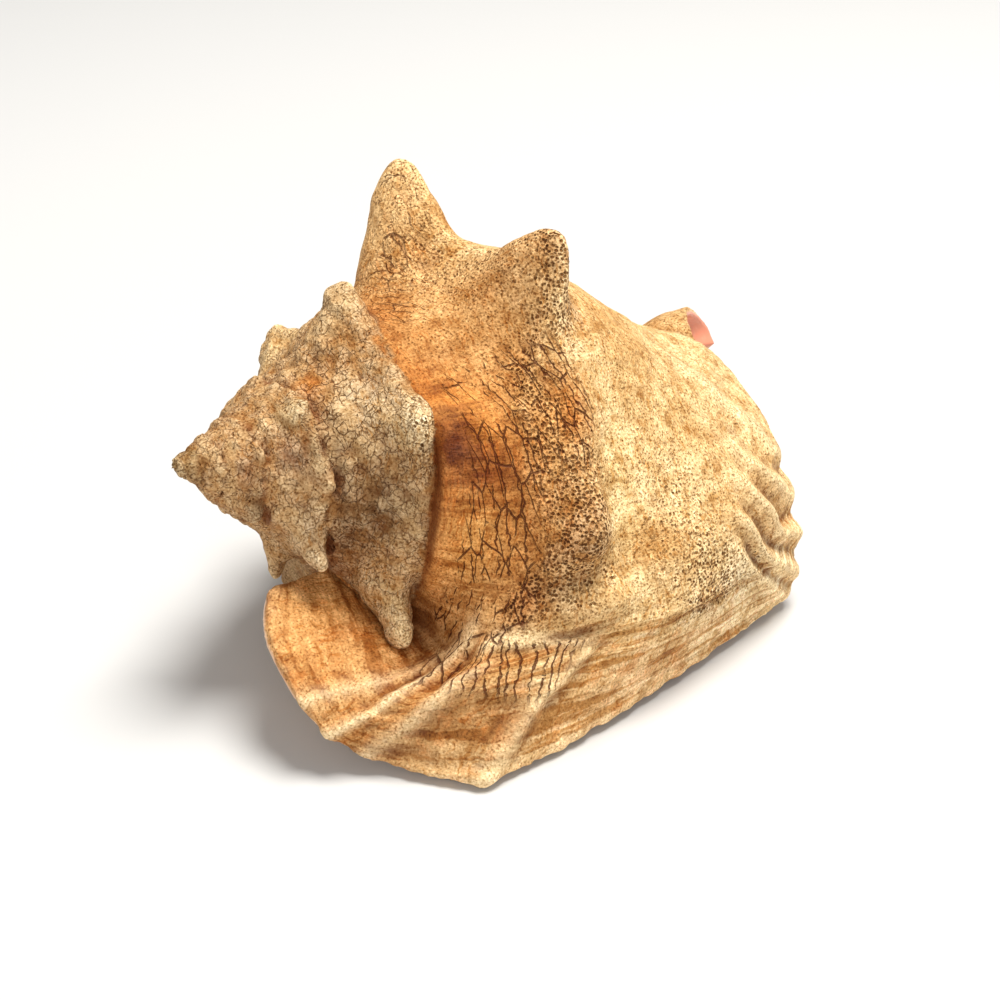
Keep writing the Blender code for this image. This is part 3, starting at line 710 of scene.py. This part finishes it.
def fine_mesh(outer, inner):
    guides = bpy.data.collections.new("guides")
    bpy.context.scene.collection.children.link(guides)
    pieces = [filled_coil(guides, .6, 130), last_wall(guides, .5, 210),
              tube(guides, "pillar", PILLAR_LINE, PILLAR_RADIUS, 64), canal(guides)]
    bm = bmesh.new()
    for piece in pieces:
        outward(piece)
        mesh = flattened(piece)
        bm.from_mesh(mesh)
        bpy.data.objects.remove(piece, do_unlink=True)
    soup = bpy.data.meshes.new("soup")
    bm.to_mesh(soup)
    bm.free()
    raw = bpy.data.objects.new("raw", soup)
    guides.objects.link(raw)
    fuse = raw.modifiers.new("fuse", 'REMESH')
    fuse.mode = 'VOXEL'
    fuse.voxel_size = VOXEL
    fuse.use_smooth_shade = True
    mesh = flattened(raw)
    largest_body(mesh)
    raw.modifiers.clear()
    raw.data = mesh

    co, no, ed = arrays(mesh)
    # the joints between the grown sheets are rounded a little
    co = co + (evened(co, ed, 3) - co) * .8
    t, c, kind, inside = locate(co, outer, inner)
    height, crest, hole = relief(co, t, c, kind, inside)
    height = np.clip(height, -2.0, 3.4)
    co = co + no * height[:, None] / 1000.0
    co[:, 2] = np.maximum(co[:, 2], 0.00015)
    mesh.vertices.foreach_set("co", co.astype(np.float32).ravel())
    mesh.update()
    faces = sum(len(p.vertices) - 2 for p in mesh.polygons)
    thin = raw.modifiers.new("thin", 'DECIMATE')
    thin.ratio = min(1.0, TRIANGLES / faces)
    thin.use_collapse_triangulate = True
    mesh = flattened(raw)
    bpy.data.objects.remove(raw, do_unlink=True)
    bpy.data.collections.remove(guides)
    print("fine surface:", faces, "->", len(mesh.polygons), "triangles")
    return mesh


# ------------------------------------------------------- colours
def linear(*srgb):
    v = np.array(srgb, float) / 255.0
    return np.where(v <= .04045, v / 12.92, ((v + .055) / 1.055)**2.4)


# growth angle, column, reach in each, colour, strength; several entries are painted shade or painted highlight, marked
# above their lines
TINTS_AND_PAINTED_LIGHT = [
    (-16, 5.4, 24, 2.4, (244, 202, 142), .8), (25, 6.0, 13, 1.5, (206, 158, 104), .8), (0, 2.2, 22, 1.2, (200, 136, 72), .75),
    (54, 4.3, 9, 1.0, (186, 140, 84), .8), (60, 1.0, 50, 1.0, (196, 124, 52), .9), (58, 2.4, 20, 1.5, (208, 132, 48), .9),
    (72, 2.9, 7, 1.0, (150, 80, 24), .85), (65, 1.7, 12, 1.0, (92, 34, 4), .97), (88, 2.6, 12, 1.2, (222, 158, 84), .8),
    (60, 5.7, 10, .6, (212, 142, 66), .85), (84, 5.7, 13, .8, (190, 142, 86), .9), (92, 4.2, 12, 1.2, (196, 132, 66), .75),
    (101, 4.9, 7, .6, (146, 92, 44), .75), (112, 5.0, 3, 1.2, (250, 220, 166), .75), (120, 5.3, 7, .8, (204, 150, 84), .8),
    # (114, 1.9): painted shade on the lobe beside the finger spine
    (132, 5.1, 8, 1.2, (158, 106, 50), .8), (132, 2.2, 18, 1.4, (208, 152, 90), .9), (114, 1.9, 10, .9, (170, 100, 42), .8),
    # (80, 7.1): painted highlight, the lit pale band of the body beside the knobs
    (80, 7.1, 22, .5, (250, 222, 166), .85), (95, 7.8, 10, .8, (214, 164, 100), .75), (110, 11.4, 24, 1.4, (226, 184, 124), .8),
    (134, 8.0, 8, 1.8, (236, 198, 148), .85), (30, 8.6, 26, 1.6, (226, 184, 124), .8), (-60, 9.0, 40, 4.0, (222, 180, 124), .6),
    (-342, 2.3, 9, 1.0, (216, 142, 62), .8), (-304, 5.5, 11, .9, (240, 216, 172), .85), (-688, 5.0, 12, .9, (216, 194, 152), .75),
    # (-214, 3.2): painted shadow under the spire
    (-600, 5.6, 22, 1.3, (200, 176, 142), .6), (-404, 5.2, 16, 2.0, (232, 198, 144), .8), (-214, 3.2, 20, 1.7, (128, 62, 22), .85),
    # this line is painted shade: the underside of the spire whorl and the crevice between whorls
    (-272, 4.3, 17, 1.6, (92, 58, 26), .8), (-288, 2.1, 26, .8, (76, 40, 18), .9), (-250, 3.0, 16, 1.1, (104, 66, 34), .8),
    # (-231, 5.9): painted light, the finger spine coloured as if lit
    (-231, 5.9, 11, 1.2, (252, 226, 178), .95), (-318, 4.4, 14, 1.2, (240, 216, 176), .7), (-655, 4.1, 20, 1.3, (150, 112, 92), .7),
    # (-656, 5.7): painted shade on the lower edge of an early whorl
    (-1000, 4.4, 24, 1.3, (164, 122, 96), .6), (-960, 6.1, 20, .9, (92, 58, 32), .7), (-656, 5.7, 14, .9, (104, 68, 38), .85),
    # (123, 10.4): painted light on the right edge, where the lamp leaves it darker
    (123, 10.4, 16, 1.5, (255, 232, 186), .85)]


def colours(t, c, kind, inside):
    n = len(t)
    base = np.zeros((n, 3))
    whorl = step(t, -150, -100)[:, None]
    ramp = (1 - step(c, 4.4, 6.2))[:, None]
    tip = step(-t, 1300, 1900)[:, None]
    early = linear(200, 158, 108) * (1 - tip) + linear(160, 122, 68) * tip
    late = linear(220, 170, 110) * ramp + linear(236, 202, 148) * (1 - ramp)
    base = early * (1 - whorl) + late * whorl
    # the tints include painted shade under the spire and in crevices, and painted light on lit areas
    for t0, c0, st, sc, rgb, a in TINTS_AND_PAINTED_LIGHT:
        w = (a * spot(t, c, t0, c0, st, sc))[:, None]
        base = base * (1 - w) + linear(*rgb) * w
    far = step(t, 206, 228)[:, None]
    base = np.where((kind == 2)[:, None], linear(226, 186, 128) * (1 - far) + linear(216, 174, 118) * far, base)
    return base


def callus(t, c, kind):
    """glaze laid over the coil inside and under the aperture"""
    return np.where(kind == 0, step(c, 7.3, 7.9) * (1 - step(t, -170, -150)) * step(t, -420, -380), 0)


def put(mesh, name, data):
    kind = {3: 'FLOAT_VECTOR', 4: 'FLOAT_COLOR'}[data.shape[1]]
    layer = mesh.attributes.new(name, kind, 'POINT')
    layer.data.foreach_set("vector" if kind == 'FLOAT_VECTOR' else "color", data.astype(np.float32).ravel())


def dress(mesh, outer, inner):
    """colours and masks on the vertices of the fine surface"""
    co, no, ed = arrays(mesh)
    t, c, kind, inside = locate(co, outer, inner)
    height, crest, _ = relief(co, t, c, kind, 0 * inside)
    # the skin has moved by its own relief, so which face it is gets measured again without that
    do = np.maximum(outer.find(co)[0] - np.abs(np.clip(height, -2.0, 3.4)) - .15, 0)
    di = inner.find(co)[0]
    inside = np.minimum(inside, step((do - di) / (do + di + 1e-6), -0.45, 0.45))
    s, k = run_length(t)
    glaze = np.maximum(inside, callus(t, c, kind))
    glaze = np.clip(glaze + .35 * (glaze > .02) * (glaze < .98) * noise(co * 1000 / 3.0, 91), 0, 1)
    # so is all that lies deep in the aperture, beside the pillar
    x, y, z = (co * 1000).T
    deepest = step(-z, -46, -38) * step(x, -2, 4) * (1 - step(x, 74, 80)) * step(y, -52, -46) * (1 - step(y, -2, 6))
    glaze = np.maximum(glaze, deepest * np.where((kind == 0) & (t > 60), 0, 1))
    # thin unglazed lines inside the aperture are filled
    glaze = np.maximum(glaze, step(evened(glaze, ed, 16)[:, 0], .6, .74))
    glaze = step(glaze, .2, .8)
    # hollows and edges, over two widths, for painted shade in the hollows and painted highlight on the edges
    wide = ((co - evened(co, ed, 26)) * no).sum(1) * 1000
    near = ((co - evened(co, ed, 5)) * no).sum(1) * 1000
    base = colours(t, c, kind, inside)
    own = (kind == 0).astype(float)
    put(mesh, "grow", np.stack([s, c * 11 * np.where(t < -130, k, 1), inside * 0], 1))
    orange = .2 + .75 * spot(t, c, 66, 2.7, 30, 1.8) + .45 * spot(t, c, -6, 3.6, 20, 1.8) + .5 * spot(t, c, 60, 5.7, 11, .9)
    orange = orange + .35 * step(t, 104, 120) + .55 * spot(t, c, -342, 2.3, 10, 1.1) + .35 * spot(t, c, 84, 1.7, 20, .6)
    orange = np.where(kind == 2, .3, orange) * (1 - .6 * (t < -110)) * (1 - .8 * spot(t, c, 65, 1.8, 10, 1.0))
    grey = .08 + .5 * (t < -110) + .55 * spot(t, c, 86, 5.6, 14, .9) + .6 * spot(t, c, 34, 6.5, 12, .7)
    grey = grey + .6 * spot(t, c, 121, 9.2, 7, .7) + .5 * spot(t, c, 119, 10.5, 10, .6)
    # painted shade: darker in hollows of the surface, stronger on the old whorls, weaker on the ramp patch and the
    # finger spine
    hollow_shade_and_sutures = np.clip(-wide * .75 - .12, 0, 1) * (1 + .25 * (t < -110)) * (1 - .85 * spot(t, c, 62, 1.2, 52, 1.1)) + np.clip(-near * 2.2 - .12, 0, .45) * (t > -110)
    hollow_shade_and_sutures = hollow_shade_and_sutures * (1 - .8 * spot(t, c, 84, 7.05, 34, .7)) * (1 - .8 * spot(t, c, -231, 5.8, 12, 1.2))
    # darker along the sutures and the seams of the early whorls, added to the painted shade
    suture = (1 - step(c, 1.0, 1.1)) * own * step(t, -100, -80) * (1 - step(t, 112, 126))
    suture = suture + step(c, 6.7, 6.9) * (1 - step(c, 7.2, 7.5)) * own * step(t, -430, -410) * (1 - step(t, -235, -220))
    suture = suture + 1.1 * seam(t, c, kind, np.clip(.3 + .3 * noise(co * 1000 / 2.6, 93), .1, .7)) * step(t, -1500, -1100)
    hollow_shade_and_sutures = np.clip(hollow_shade_and_sutures + .85 * suture, 0, 1)
    hollow_shade_and_sutures = evened(hollow_shade_and_sutures, ed, 2)[:, 0]
    # painted highlight on convex edges; paler on rib and lobe crests and on the growth band
    light = np.clip(wide * .5 - .1, 0, 1) * (.6 + .4 * (t < -110)) + np.clip(crest, 0, 1) * .8
    light = light * (1 - .95 * spot(t, c, 62, 1.2, 55, 1.3))
    light = evened(light, ed, 2)[:, 0]
    stria = .2 + .8 * step(t, 106, 122) + .7 * spot(t, c, 74, 2.4, 34, 1.4) + .4 * spot(t, c, 98, 3.4, 14, 1.4)
    stria = np.where(kind == 0, stria, .2) * (t > -140)
    net = np.where(t < -110, .6 + .4 * spot(t, c, -320, 2.4, 60, 2.0), .5 * spot(t, c, -8, 4.6, 30, 2.6))
    net = np.where(kind == 2, .3, net)
    # base colour with its painted shade and painted highlight, and the hair-crack amount
    put(mesh, "tint_and_painted_light", np.concatenate([base, net[:, None]], 1))
    put(mesh, "skin", np.stack([glaze, pits(t, c, kind), cracked(t, c, kind) * (1 - .75 * spot(t, c, 80, 5.0, 22, 1.2)),
                           np.clip(stria, 0, 1)], 1))
    # orange and grey tones, painted shade in hollows and along sutures, painted highlight on edges
    put(mesh, "wear_and_painted_light", np.stack([np.clip(orange, 0, 1), np.clip(grey, 0, 1), hollow_shade_and_sutures, np.clip(light, 0, 1)], 1))
    # depth into the aperture, for the pink
    deep = np.where(kind == 3, .55, np.clip((140 - np.where(t > 150, 140, t)) / 200.0, 0, 1))
    put(mesh, "deep", np.stack([deep, np.clip(crest * .5 + .5, 0, 1), hanging(t, c) * own], 1))


def conch():
    outer_sheets, inner_sheets = growth_sheets()
    outer, inner = Finder(outer_sheets), Finder(inner_sheets)
    mesh = fine_mesh(outer, inner)
    dress(mesh, outer, inner)
    mesh.name = "shell_surface"
    shell = bpy.data.objects.new("conch_shell_surface", mesh)
    bpy.context.scene.collection.objects.link(shell)
    mesh.shade_smooth()
    return shell


# ------------------------------------------------------- materials
class Graph:
    """short names for the nodes of one material"""
    def __init__(self, tree):
        self.tree = tree

    def node(self, kind, inputs=(), **props):
        n = self.tree.nodes.new(kind)
        for key, value in props.items():
            setattr(n, key, value)
        for key, value in dict(inputs).items():
            self.plug(value, n.inputs[key])
        return n

    def plug(self, value, socket):
        if isinstance(value, bpy.types.NodeSocket):
            self.tree.links.new(value, socket)
        elif value is not None:
            socket.default_value = value

    def math(self, op, a, b=0.0, clamp=False):
        return self.node('ShaderNodeMath', {0: a, 1: b}, operation=op, use_clamp=clamp).outputs[0]

    def mul(self, a, b): return self.math('MULTIPLY', a, b)
    def add(self, a, b): return self.math('ADD', a, b)
    def sub(self, a, b): return self.math('SUBTRACT', a, b)

    def vec(self, op, a, b):
        return self.node('ShaderNodeVectorMath', {0: a, 1: b}, operation=op).outputs[0]

    def rise(self, x, lo, hi, out0=0.0, out1=1.0):
        return self.node('ShaderNodeMapRange', {'Value': x, 'From Min': lo, 'From Max': hi, 'To Min': out0,
                                                'To Max': out1}, interpolation_type='SMOOTHSTEP').outputs[0]

    def noise(self, v, scale, detail=2.0, rough=.5, distortion=0.0):
        return self.node('ShaderNodeTexNoise', {'Vector': v, 'Scale': scale, 'Detail': detail, 'Roughness': rough,
                                                'Distortion': distortion}).outputs['Fac']

    def cells(self, v, scale, feature='F1', wanted='Distance', random=1.0):
        return self.node('ShaderNodeTexVoronoi', {'Vector': v, 'Scale': scale, 'Randomness': random},
                         feature=feature).outputs[wanted]

    def mix(self, fac, a, b, blend='MIX'):
        n = self.node('ShaderNodeMix', data_type='RGBA', blend_type=blend)
        self.plug(fac, n.inputs[0]); self.plug(a, n.inputs[6]); self.plug(b, n.inputs[7])
        return n.outputs[2]

    def rgba(self, name):
        n = self.node('ShaderNodeAttribute', attribute_name=name, attribute_type='GEOMETRY')
        s = self.node('ShaderNodeSeparateColor', {0: n.outputs['Color']})
        return n.outputs['Color'], s.outputs[0], s.outputs[1], s.outputs[2], n.outputs['Alpha']


def tone(*srgb):
    return tuple(float(v) for v in linear(*srgb)) + (1.0,)


def shell_material():
    material = bpy.data.materials.new("aged_shell")
    material.use_nodes = True
    tree = material.node_tree
    shader = tree.nodes["Principled BSDF"]
    g = Graph(tree)
    here = g.node('ShaderNodeTexCoord').outputs['Object']
    mm = g.vec('MULTIPLY', here, (1000.0, 1000.0, 1000.0))
    grow = g.node('ShaderNodeAttribute', attribute_name="grow", attribute_type='GEOMETRY').outputs['Vector']
    tint_and_painted_light, _, _, _, net_ = g.rgba("tint_and_painted_light")
    _, glaze, pitted, cracked_, stria_ = g.rgba("skin")
    _, orange_, grey_, hollow_shade_and_sutures_, edge_highlight_and_pale_crests_ = g.rgba("wear_and_painted_light")
    _, deep_, _, hang_, _ = g.rgba("deep")
    outside = g.math('SUBTRACT', 1.0, glaze, True)

    # noises shared by colour and relief
    broad = g.noise(mm, 1 / 15, 2.0, .55)
    patch = g.noise(mm, 1 / 5.0, 3.0, .6)
    grain = g.noise(mm, 1 / .75, 2.0, .6)
    warp = g.node('ShaderNodeTexNoise', {'Vector': mm, 'Scale': 1 / 3.6, 'Detail': 1.0}).outputs['Color']
    warp = g.vec('SUBTRACT', warp, (.5, .5, .5))
    bent = g.vec('ADD', grow, g.vec('MULTIPLY', warp, (3.0, 3.0, 0.0)))
    eased = g.vec('ADD', grow, g.vec('MULTIPLY', warp, (1.1, .6, 0.0)))

    # growth striae: fine along the coil, long across it
    line = g.noise(g.vec('ADD', g.vec('MULTIPLY', eased, (1 / 2.7, 1 / 34.0, 0.0)), (.37, .21, .43)), 1.0, 3.0, .72)
    # streaks along the coil
    streak = g.noise(g.vec('ADD', g.vec('MULTIPLY', bent, (1 / 8.0, 1 / 1.3, 0.0)), (.13, .31, .57)), 1.0, 2.0, .6)

    dash = g.noise(g.vec('ADD', g.vec('MULTIPLY', bent, (1 / 3.6, 1 / .62, 0.0)), (.71, .19, .83)), 1.0, 1.0, .5)

    # fine pores all over, coarse honeycomb pits in patches
    spread = g.vec('ADD', mm, g.vec('MULTIPLY', warp, (1.6, 1.6, 1.6)))
    fine = g.node('ShaderNodeTexVoronoi', {'Vector': spread, 'Scale': 1 / .9, 'Randomness': 1.0}, feature='F1')
    some = g.node('ShaderNodeSeparateColor', {0: fine.outputs['Color']}).outputs[0]
    some = g.rise(g.sub(g.add(g.mul(pitted, 1.5), g.mul(g.sub(patch, .5), .9)), some), -.2, .35)
    pore = g.mul(g.mul(g.rise(fine.outputs['Distance'], .2, .55, 1.0, 0.0), some), outside)
    comb = g.node('ShaderNodeTexVoronoi', {'Vector': spread, 'Scale': 1 / 1.2, 'Randomness': .7}, feature='F1')
    chance = g.node('ShaderNodeSeparateColor', {0: comb.outputs['Color']}).outputs[1]
    keep = g.rise(g.sub(g.add(g.mul(pitted, 1.7), g.mul(g.sub(patch, .5), 1.2)), g.add(g.mul(chance, .6), .66)), -.12, .3)
    pit = g.mul(g.mul(g.rise(comb.outputs['Distance'], .22, .5, 1.0, 0.0), keep), outside)
    rim = g.mul(g.mul(g.rise(comb.outputs['Distance'], .38, .56), keep), outside)
    # hair cracks that net the chalky skin
    net = g.cells(g.vec('ADD', mm, g.vec('MULTIPLY', warp, (4.0, 4.0, 4.0))), 1 / 3.0, 'DISTANCE_TO_EDGE')
    net = g.mul(g.rise(net, .012, .06, 1.0, 0.0), g.mul(net_, g.rise(patch, .38, .52)))
    net = g.mul(net, outside)

    # long cracks that lean across the coil, and the close ones of the hanging patch
    u = g.node('ShaderNodeSeparateXYZ', {0: bent}).outputs
    e = g.node('ShaderNodeSeparateXYZ', {0: eased}).outputs
    v = g.sub(u[1], g.mul(u[0], .42))
    lean = g.node('ShaderNodeCombineXYZ', {0: g.mul(e[0], .55 / 5.2), 1: g.mul(g.sub(e[1], g.mul(e[0], .42)), 1 / 5.2),
                                           2: 0.0}).outputs[0]
    gap = g.node('ShaderNodeTexVoronoi', {'Vector': lean, 'Scale': 1.0, 'Randomness': 1.0},
                 feature='DISTANCE_TO_EDGE', voronoi_dimensions='2D').outputs['Distance']
    broken = g.rise(g.add(broad, g.mul(g.sub(patch, .5), .9)), .4, .5)
    crack = g.mul(g.rise(gap, .012, .045, 1.0, 0.0), broken)
    rows = g.node('ShaderNodeTexVoronoi', {'W': g.mul(g.add(v, g.mul(g.sub(patch, .5), 3.0)), 1 / 4.4), 'Scale': 1.0,
                                           'Randomness': 1.0}, feature='DISTANCE_TO_EDGE', voronoi_dimensions='1D')
    gone = g.rise(g.add(streak, g.mul(g.sub(broad, .5), .8)), .44, .5)
    crack = g.math('MAXIMUM', crack, g.mul(g.rise(rows.outputs['Distance'], .03, .08, 1.0, 0.0), gone))
    crack = g.mul(crack, g.rise(cracked_, .1, .6))
    v = g.sub(e[1], g.mul(e[0], .42))
    rows = g.node('ShaderNodeTexVoronoi', {'W': g.mul(g.add(v, g.mul(g.sub(patch, .5), 2.2)), 1 / 1.45), 'Scale': 1.0,
                                           'Randomness': .8}, feature='DISTANCE_TO_EDGE', voronoi_dimensions='1D')
    close = g.mul(g.rise(rows.outputs['Distance'], .05, .14, 1.0, 0.0), g.mul(hang_, g.rise(streak, .36, .44)))
    cracks = g.mul(g.math('MAXIMUM', crack, close), outside)

    # outside colour, each layer a paler or browner shade of what is under it
    def shade(fac, under, *by):
        return g.mix(fac, under, by + (1.0,), 'MULTIPLY')
    colour = shade(g.rise(broad, .42, .6), tint_and_painted_light, .85, .79, .7)
    colour = shade(g.rise(patch, .48, .64), colour, 1.25, 1.32, 1.42)
    colour = shade(g.rise(patch, .46, .33), colour, .72, .6, .45)
    colour = shade(g.mul(g.rise(line, .5, .6), stria_), colour, .62, .46, .28)
    colour = shade(g.mul(g.rise(line, .48, .38), stria_), colour, 1.22, 1.32, 1.5)
    blotch = g.rise(g.add(g.mul(patch, .55), g.mul(streak, .45)), .49, .6)
    colour = g.mix(g.mul(g.mul(blotch, orange_), .6), colour, tone(198, 112, 30))
    colour = g.mix(g.mul(g.rise(patch, .44, .58), g.mul(grey_, .6)), colour, tone(190, 166, 136))
    colour = g.mix(g.mul(g.rise(broad, .5, .38), g.mul(grey_, .5)), colour, tone(222, 190, 140))
    colour = shade(g.rise(streak, .54, .76, 0.0, .8), colour, .74, .64, .5)
    colour = shade(g.mul(g.rise(dash, .56, .68), g.rise(broad, .36, .5)), colour, .8, .64, .44)
    # painted highlight on edges, with the pale crests and growth band
    colour = g.mix(g.mul(edge_highlight_and_pale_crests_, .7), colour, tone(254, 230, 184))
    colour = shade(g.rise(grain, .52, .7), colour, .52, .42, .31)
    colour = shade(g.rise(grain, .48, .32), colour, 1.3, 1.38, 1.5)
    colour = shade(g.mul(pore, .85), colour, .46, .36, .25)
    colour = shade(rim, colour, 1.2, 1.24, 1.28)
    colour = shade(pit, colour, .38, .26, .14)
    colour = shade(g.mul(net, .9), colour, .34, .22, .13)
    colour = g.node('ShaderNodeGamma', {'Color': colour, 'Gamma': 1.07}).outputs[0]
    colour = g.mix(1.0, colour, (1.04, 1.04, 1.04, 1.0), 'MULTIPLY')
    # painted shade in hollows, and darker along the sutures
    colour = g.mix(g.mul(hollow_shade_and_sutures_, .85), colour, tone(104, 46, 12))
    colour = g.mix(g.mul(cracks, .85), colour, tone(84, 32, 8))

    # inside colour: pale at the lip, salmon pink further in
    pink = g.mix(g.rise(deep_, .02, .5), tone(246, 206, 170), tone(234, 150, 120))
    pink = g.mix(g.rise(line, .45, .7, 0.0, .25), pink, tone(252, 206, 176))
    pink = g.mix(g.rise(broad, .45, .75, 0.0, .3), pink, tone(232, 158, 122))
    # painted shade in the hollows of the inside
    pink = g.mix(g.mul(hollow_shade_and_sutures_, .35), pink, tone(176, 92, 62))
    final = g.mix(glaze, colour, pink)
    g.plug(final, shader.inputs['Base Color'])

    # roughness: chalky outside, glazed inside
    dull = g.rise(patch, .3, .7, .56, .74)
    dull = g.math('ADD', dull, g.mul(pore, .15), True)
    shiny = g.rise(broad, .3, .7, .24, .34)
    rough = g.node('ShaderNodeMix', data_type='FLOAT')
    g.plug(glaze, rough.inputs[0]); g.plug(dull, rough.inputs[2]); g.plug(shiny, rough.inputs[3])
    g.plug(rough.outputs[0], shader.inputs['Roughness'])
    shader.inputs['IOR'].default_value = 1.5
    shader.inputs['Specular IOR Level'].default_value = .12

    # relief finer than the mesh, in mm
    high = g.mul(g.sub(grain, .5), .42)
    high = g.add(high, g.mul(g.mul(g.sub(line, .5), stria_), .9))
    high = g.sub(high, g.mul(pore, .2))
    high = g.sub(high, g.mul(pit, .7))
    high = g.add(high, g.mul(g.mul(g.sub(patch, .5), grey_), 2.2))
    high = g.sub(high, g.mul(net, .4))
    high = g.sub(high, g.mul(cracks, .7))
    high = g.mul(high, outside)
    bump = g.node('ShaderNodeBump', {'Strength': 1.0, 'Distance': .001, 'Height': high})
    g.plug(bump.outputs[0], shader.inputs['Normal'])
    return material


# ------------------------------------------------------- stage
def plain(name, srgb, rough):
    material = bpy.data.materials.new(name)
    material.use_nodes = True
    shader = material.node_tree.nodes["Principled BSDF"]
    shader.inputs['Base Color'].default_value = tone(*srgb)
    shader.inputs['Roughness'].default_value = rough
    shader.inputs['Specular IOR Level'].default_value = .2
    return material


def area(name, place, target, size, power, colour=(1, 1, 1)):
    light = bpy.data.lights.new(name, 'AREA')
    light.shape = 'DISK'
    light.size = size
    light.energy = power
    light.color = colour
    lamp = bpy.data.objects.new(name, light)
    bpy.context.scene.collection.objects.link(lamp)
    lamp.location = place
    lamp.rotation_euler = (Vector(place) - Vector(target)).to_track_quat('Z', 'Y').to_euler()


def stage():
    scene = bpy.context.scene
    mesh = bpy.data.meshes.new("floor")
    mesh.from_pydata([(-8, -8, 0), (8, -8, 0), (8, 8, 0), (-8, 8, 0)], [], [(0, 1, 2, 3)])
    floor = bpy.data.objects.new("floor", mesh)
    scene.collection.objects.link(floor)
    mesh.materials.append(plain("pale_floor", (212, 211, 209), .7))

    world = bpy.data.worlds.new("studio")
    scene.world = world
    world.use_nodes = True
    back = world.node_tree.nodes["Background"]
    back.inputs[0].default_value = (1.0, 1.0, 1.0, 1.0)
    back.inputs[1].default_value = WORLD
    for name, place, size, power, colour in LAMPS:
        area(name, place, (0, 0, .05), size, power, colour)
    scene.view_settings.view_transform = 'Standard'
    scene.view_settings.look = 'None'
    scene.cycles.max_bounces = 5
    scene.cycles.diffuse_bounces = 3

    turn, rise_ = math.radians(-36.21), math.radians(30.0)
    back = Vector((math.sin(turn) * math.cos(rise_), -math.cos(turn) * math.cos(rise_), math.sin(rise_)))
    x, y, z = 82.02, -376.7, 207.5
    place = Vector((x * math.cos(turn) - y * math.sin(turn), x * math.sin(turn) + y * math.cos(turn), z)) * (SIZE / 1000)
    lens = bpy.data.cameras.new("camera")
    lens.lens = 62.28
    lens.sensor_width = 36
    lens.clip_start = .01
    camera = bpy.data.objects.new("camera", lens)
    scene.collection.objects.link(camera)
    camera.location = place + Vector(GROUND)
    camera.rotation_euler = back.to_track_quat('Z', 'Y').to_euler()
    scene.camera = camera


WORLD = .38
LAMPS = [("key", (.48, -.08, 2.0), .96, 57.0, (1.0, .985, .955)),
         ("fill", (-.75, -1.0, .55), 1.0, 5.0, (1.0, .99, .97))]

shell = conch()
shell.data.materials.append(shell_material())
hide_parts("conch_shell")
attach(shell, "root")
stage()
